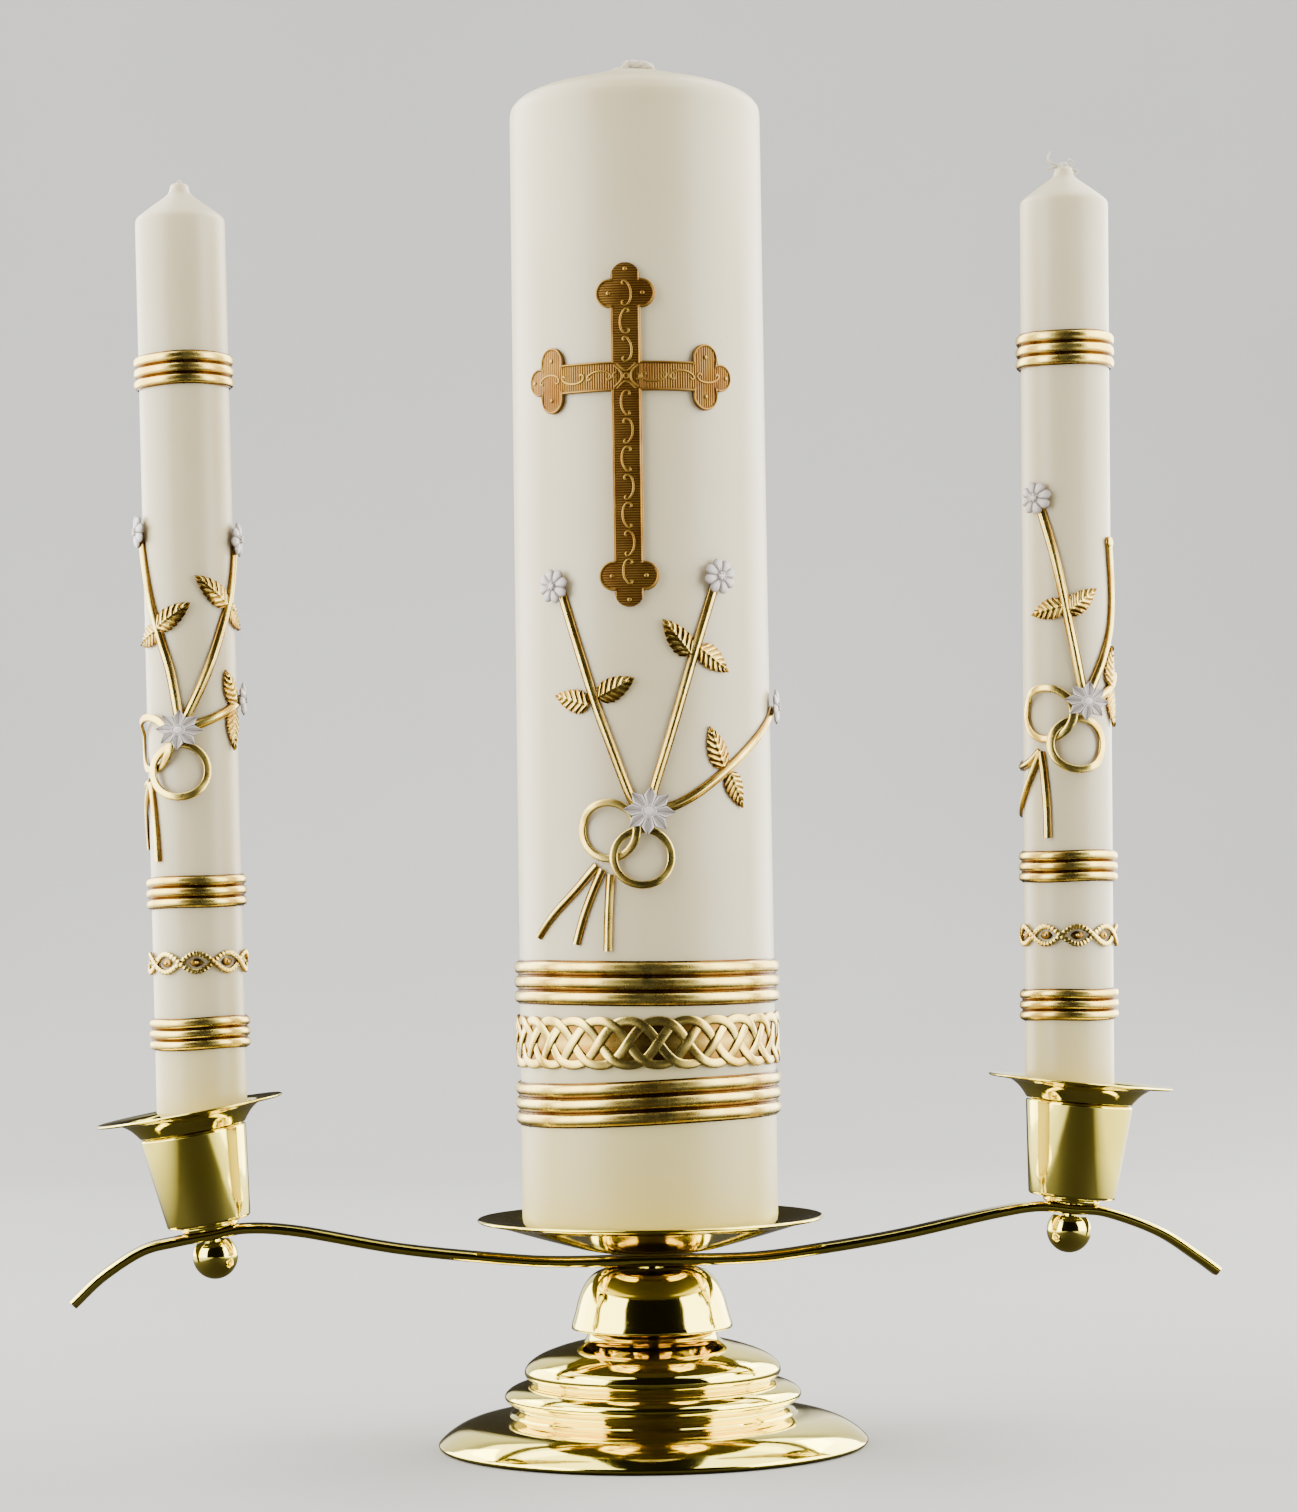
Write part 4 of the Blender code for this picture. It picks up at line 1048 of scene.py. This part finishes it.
def pillar_spray(gold, petals):
    """Stems, flowers, leaves, rings and ribbon, placed along and up the pillar from its front."""
    radius = PILLAR_R
    stems = {
        "left": [(-23.2, 212.0), (-18.0, 196.4), (-14.0, 183.9), (-10.2, 173.5), (-6.1, 162.4),
                  (-4.6, 159.6)],
        "middle": [(16.6, 214.0), (10.5, 196.6), (4.4, 177.4), (0.4, 165.0), (-0.8, 160.6)],
        "right": [(43.6, 183.6), (33.5, 177.6), (27.2, 173.5), (18.0, 167.1), (10.7, 162.2),
                   (5.4, 159.4), (2.4, 158.6)]}
    for side, points in stems.items():
        shape = Shape(radius)
        stem(shape, points)
        gilt("stem_" + side, "_pressed", shape, gold, "pillar")
    flowers = {"left": (-24.9, 213.7, 8.6), "middle": (17.2, 215.4, 8.8), "right": (44.0, 184.3, 8.8)}
    for side, (u, v, size) in flowers.items():
        shape = Shape(radius)
        daisy(shape, (u, v), size, 1.65)
        piece("flower_%s_petals" % side, shape, petals, "pillar", ["flower_" + side])
    shape = Shape(radius)
    star(shape, (-1.4, 157.9), 11.6, 2.3)
    piece("flower_centre_petals", shape, petals, "pillar", ["flower_centre"])
    leaves = [((-15.9, 184.2), (-25.6, 186.8)), ((-13.3, 186.0), (-4.3, 190.5)),
              ((9.4, 196.2), (2.6, 204.8)), ((11.8, 197.7), (20.0, 191.9)),
              ((18.0, 168.4), (14.2, 178.6)), ((20.0, 167.2), (24.1, 158.6))]
    for k, (base, tip) in enumerate(leaves, 1):
        shape = Shape(radius)
        leaf(shape, base, tip, 5.9)
        gilt("leaf_%d" % k, "_veined", shape, gold, "pillar")
    rings = ring_pair((-11.1, 153.3), (-3.0, 146.7), 6.8, radius)
    for name, shape in zip(("ring_left", "ring_right"), rings):
        gilt(name, "_wire", shape, gold, "pillar")
    tails = [[(-14.4, 144.9), (-20.5, 138.6), (-27.6, 132.6), (-33.0, 127.6)],
             [(-13.0, 143.9), (-15.8, 138.0), (-18.4, 131.6), (-20.3, 125.7)],
             [(-10.9, 142.6), (-11.3, 138.0), (-11.7, 131.0), (-11.9, 123.9)]]
    ribbon("pillar_ribbon", tails, radius, gold, "pillar")


def ribbon(name, tails, radius, gold, body, place=None):
    """Three ridged tails with square cut ends."""
    shape = Shape(radius)
    for points in tails:
        ridged(shape, points, 1.06, 0.95)
    gilt(name, "_tails", shape, gold, body, place)


# Sprays on the tapers: girth angles in degrees and heights in millimetres
SPRAYS = {
    "left": {
        "knot": (-12.4, 179.9),
        "stems": [[(-77.0, 229.5), (-54.4, 213.1), (-37.2, 202.8), (-23.4, 193.8), (-12.4, 180.2)],
                  [(81.0, 227.0), (65.0, 215.0), (46.8, 206.5), (22.2, 194.4), (-11.0, 180.6)],
                  [(89.0, 187.8), (62.0, 185.6), (47.3, 184.3), (12.1, 181.5), (-8.0, 180.4)]],
        "flowers": [((-78.0, 230.0), 8.4), ((82.0, 227.6), 8.6), ((90.0, 187.8), 8.2)],
        "leaves": [((-40.5, 204.9), (-80.0, 201.5)), ((-41.0, 205.4), (3.4, 211.5)),
                   ((52.0, 211.0), (9.0, 218.2)), ((60.0, 210.6), (92.0, 205.0)),
                   ((67.0, 186.0), (46.9, 194.8)), ((62.0, 185.2), (61.0, 174.8))],
        "rings": ((-11.0, 176.9), (-2.8, 169.9), 6.5),
        "tails": [[(-12.3, 167.4), (-11.4, 163.0), (-10.4, 155.0), (-9.9, 147.6)],
                  [(-12.4, 167.4), (-15.5, 163.0), (-18.6, 156.5), (-20.2, 151.0)],
                  [(-12.5, 167.5), (-17.5, 166.5), (-23.0, 163.0), (-27.0, 158.0)]],
    },
    "right": {
        "knot": (11.1, 184.6),
        "stems": [[(-47.0, 235.6), (-31.0, 225.5), (-19.9, 216.5), (-3.7, 200.2), (11.1, 184.9)],
                  [(56.0, 225.0), (63.0, 213.0), (60.0, 205.5), (49.6, 199.6), (24.0, 189.4),
                   (12.0, 184.6)],
                  [(80.0, 192.0), (62.0, 189.0), (36.1, 186.2), (12.0, 184.4)]],
        "flowers": [((-48.7, 236.2), 8.4)],
        "leaves": [((-13.0, 208.8), (-57.7, 206.6)), ((-11.0, 207.0), (28.3, 213.2)),
                   ((56.0, 188.6), (60.0, 199.0)), ((58.0, 188.2), (66.0, 178.5))],
        "rings": ((-7.1, 181.6), (0.6, 173.9), 6.4),
        "tails": [[(-8.9, 172.1), (-8.0, 166.0), (-7.3, 158.0), (-7.1, 150.3)],
                  [(-9.0, 172.1), (-12.0, 166.5), (-16.0, 161.0), (-20.5, 156.5)],
                  [(-9.1, 172.1), (-13.0, 169.5), (-18.0, 168.6), (-23.5, 169.6)]],
    },
}


def taper_spray(side, gold, petals):
    data = SPRAYS[side]
    radius = TAPER_R
    place = taper_frame(side)
    body = side + "_taper"
    shape = Shape(radius)
    for points in data["stems"]:
        stem(shape, [(girth(a, radius), z) for a, z in points])
    for base, tip in data["leaves"]:
        ends = [(girth(angle, radius), z) for angle, z in (base, tip)]
        leaf(shape, *ends, 5.4, SKIN + 0.07)
    if side == "right":
        # The right-hand stem of this spray ends in a bud without a flower
        cut = data["stems"][1][0]
        button(shape, (girth(cut[0], radius), cut[1] + 0.2), 1.5, SKIN, 1.5)
    gilt(side + "_spray", "_pressed", shape, gold, body, place)
    shape = Shape(radius)
    star(shape, (girth(data["knot"][0], radius), data["knot"][1]), 9.6, 2.45)
    for (angle, z), size in data["flowers"]:
        daisy(shape, (girth(angle, radius), z), size, 1.4)
    piece(side + "_spray_petals", shape, petals, body, [], place)
    for name, ring in zip(("upper", "lower"), ring_pair(*data["rings"], radius)):
        gilt("%s_ring_%s" % (side, name), "_wire", ring, gold, body, place)
    ribbon(side + "_ribbon", data["tails"], radius, gold, body, place)


def taper_bands(side, gold):
    place = taper_frame(side)
    for name in ("top", "middle", "low"):
        node = "%s_%s_band" % (side, name)
        low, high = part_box(node)
        height = (high.z - low.z) / MM - 0.35
        ribs(node, TAPER_R, level_in(place, low, high), height, 1.3, TAPER_SEGS, 0.15, gold,
             side + "_taper", place)


# ---- stage, light and camera

def stage():
    """Pale floor that sweeps up into a backdrop."""
    bend = 0.8
    steps = 12
    sweep = [(-2.2, 0.0), (1.0, 0.0)]
    for k in range(1, steps + 1):
        angle = pi / 2 * k / steps
        sweep.append((1.0 + bend * sin(angle), bend - bend * cos(angle)))
    sweep.append((1.8, 2.6))
    mesh = bpy.data.meshes.new("sweep")
    points = [(x, y, z) for y, z in sweep for x in (-3.0, 3.0)]
    faces = [(2 * i, 2 * i + 1, 2 * i + 3, 2 * i + 2) for i in range(len(sweep) - 1)]
    mesh.from_pydata(points, [], faces)
    mesh.shade_smooth()
    mesh.materials.append(pale_floor())
    obj = bpy.data.objects.new("sweep", mesh)
    bpy.context.scene.collection.objects.link(obj)


def softbox(name, place, aim, size, power, color):
    """Rectangular light that shows in reflections but not to the camera."""
    light = bpy.data.lights.new(name, "AREA")
    light.shape = "RECTANGLE"
    light.size, light.size_y = size
    light.energy = power
    light.color = color
    obj = bpy.data.objects.new(name, light)
    obj.location = place
    obj.rotation_euler = (Vector(aim) - Vector(place)).to_track_quat("-Z", "Y").to_euler()
    obj.visible_camera = False
    bpy.context.scene.collection.objects.link(obj)


def lights():
    """Softboxes at the sides, overhead and behind on both hands, one on the backdrop, a dim room,
    and a pale surround that only the camera sees."""
    world = bpy.data.worlds.new("studio")
    world.use_nodes = True
    nodes = world.node_tree.nodes
    links = world.node_tree.links
    room = nodes["Background"]
    room.inputs["Color"].default_value = (1.0, 0.95, 0.88, 1.0)
    room.inputs["Strength"].default_value = 0.007
    seen = nodes.new("ShaderNodeBackground")
    seen.inputs["Color"].default_value = (0.62, 0.62, 0.62, 1.0)
    either = nodes.new("ShaderNodeMixShader")
    links.new(nodes.new("ShaderNodeLightPath").outputs["Is Camera Ray"], either.inputs["Fac"])
    links.new(room.outputs["Background"], either.inputs[1])
    links.new(seen.outputs["Background"], either.inputs[2])
    links.new(either.outputs["Shader"], nodes["World Output"].inputs["Surface"])
    bpy.context.scene.world = world
    warm = (1.0, 0.985, 0.94)
    for hand, name in ((-1.0, "left"), (1.0, "right")):
        softbox(name + "_box", (hand * 0.98, -0.10, 0.56), (0.0, 0.0, 0.56), (1.5, 1.1), 52.0, warm)
        softbox(name + "_over", (hand * 0.74, 0.45, 1.25), (hand * 0.2, 0.45, 0.1), (2.2, 0.85),
                32.0, warm)
        softbox(name + "_rim", (hand * 0.92, 0.92, 0.55), (0.0, 0.0, 0.45), (0.62, 1.1), 22.0, warm)
    softbox("backdrop_box", (0.0, 0.9, 1.6), (0.0, 1.6, 0.4), (2.0, 0.6), 13.0, (1.0, 1.0, 1.0))


def camera():
    """View from slightly left of the front, a little above the cups, tipped up to the candle tops."""
    azimuth = radians(-4.5)
    pitch = radians(2.19)
    roll = radians(0.84)
    away, aside, eye_height = 0.982, 0.0012, 0.135
    ahead = Vector((-sin(azimuth), cos(azimuth), 0.0))
    right = Vector((cos(azimuth), sin(azimuth), 0.0))
    place = -ahead * away + right * aside + Vector((0.0, 0.0, eye_height))
    look = ahead * cos(pitch) + Vector((0.0, 0.0, sin(pitch)))
    up = Vector((0.0, 0.0, cos(pitch))) - ahead * sin(pitch)
    turned_up = up * cos(roll) + right * sin(roll)
    turned_right = right * cos(roll) - up * sin(roll)
    data = bpy.data.cameras.new("camera")
    data.lens = 92.86
    data.sensor_width = 36.0
    obj = bpy.data.objects.new("camera", data)
    turn = Matrix((turned_right, turned_up, -look)).transposed().to_4x4()
    obj.matrix_world = Matrix.Translation(place) @ turn
    bpy.context.scene.collection.objects.link(obj)
    bpy.context.scene.camera = obj


def build():
    brass = polished_brass()
    wax = ivory_wax()
    gold = antique_gold("antique_gold", 1.0, 0.16, 0.38, (1.0, 1.0, 1.0, 1.0))
    worn_gold = antique_gold("worn_gold", 0.80, 0.26, 0.44, (0.46, 0.35, 0.23, 1.0))
    petals = pearl_petals()
    cotton = waxed_cotton()
    camera()
    lights()
    stage()
    stand(brass)
    bent_arm(brass)
    pillar_body(wax)
    pillar_wick(cotton)
    cross(worn_gold)
    ribs("upper_band", PILLAR_R, 116.0, 11.0, 1.5, PILLAR_SEGS, -0.3, gold, "pillar")
    ribs("lower_band", PILLAR_R, 87.0, 11.0, 1.5, PILLAR_SEGS, 1.0, gold, "pillar")
    plait(gold)
    pillar_spray(gold, petals)
    for side in ("left", "right"):
        cup_set(side, brass)
        taper_body(side, wax)
        taper_wick(side, cotton)
        taper_bands(side, gold)
        twist(side, gold)
        taper_spray(side, gold, petals)
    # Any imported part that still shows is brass: studs and nuts
    for obj in frame["nodes"].values():
        if not obj.hide_render:
            obj.data.materials.clear()
            obj.data.materials.append(brass)


build()
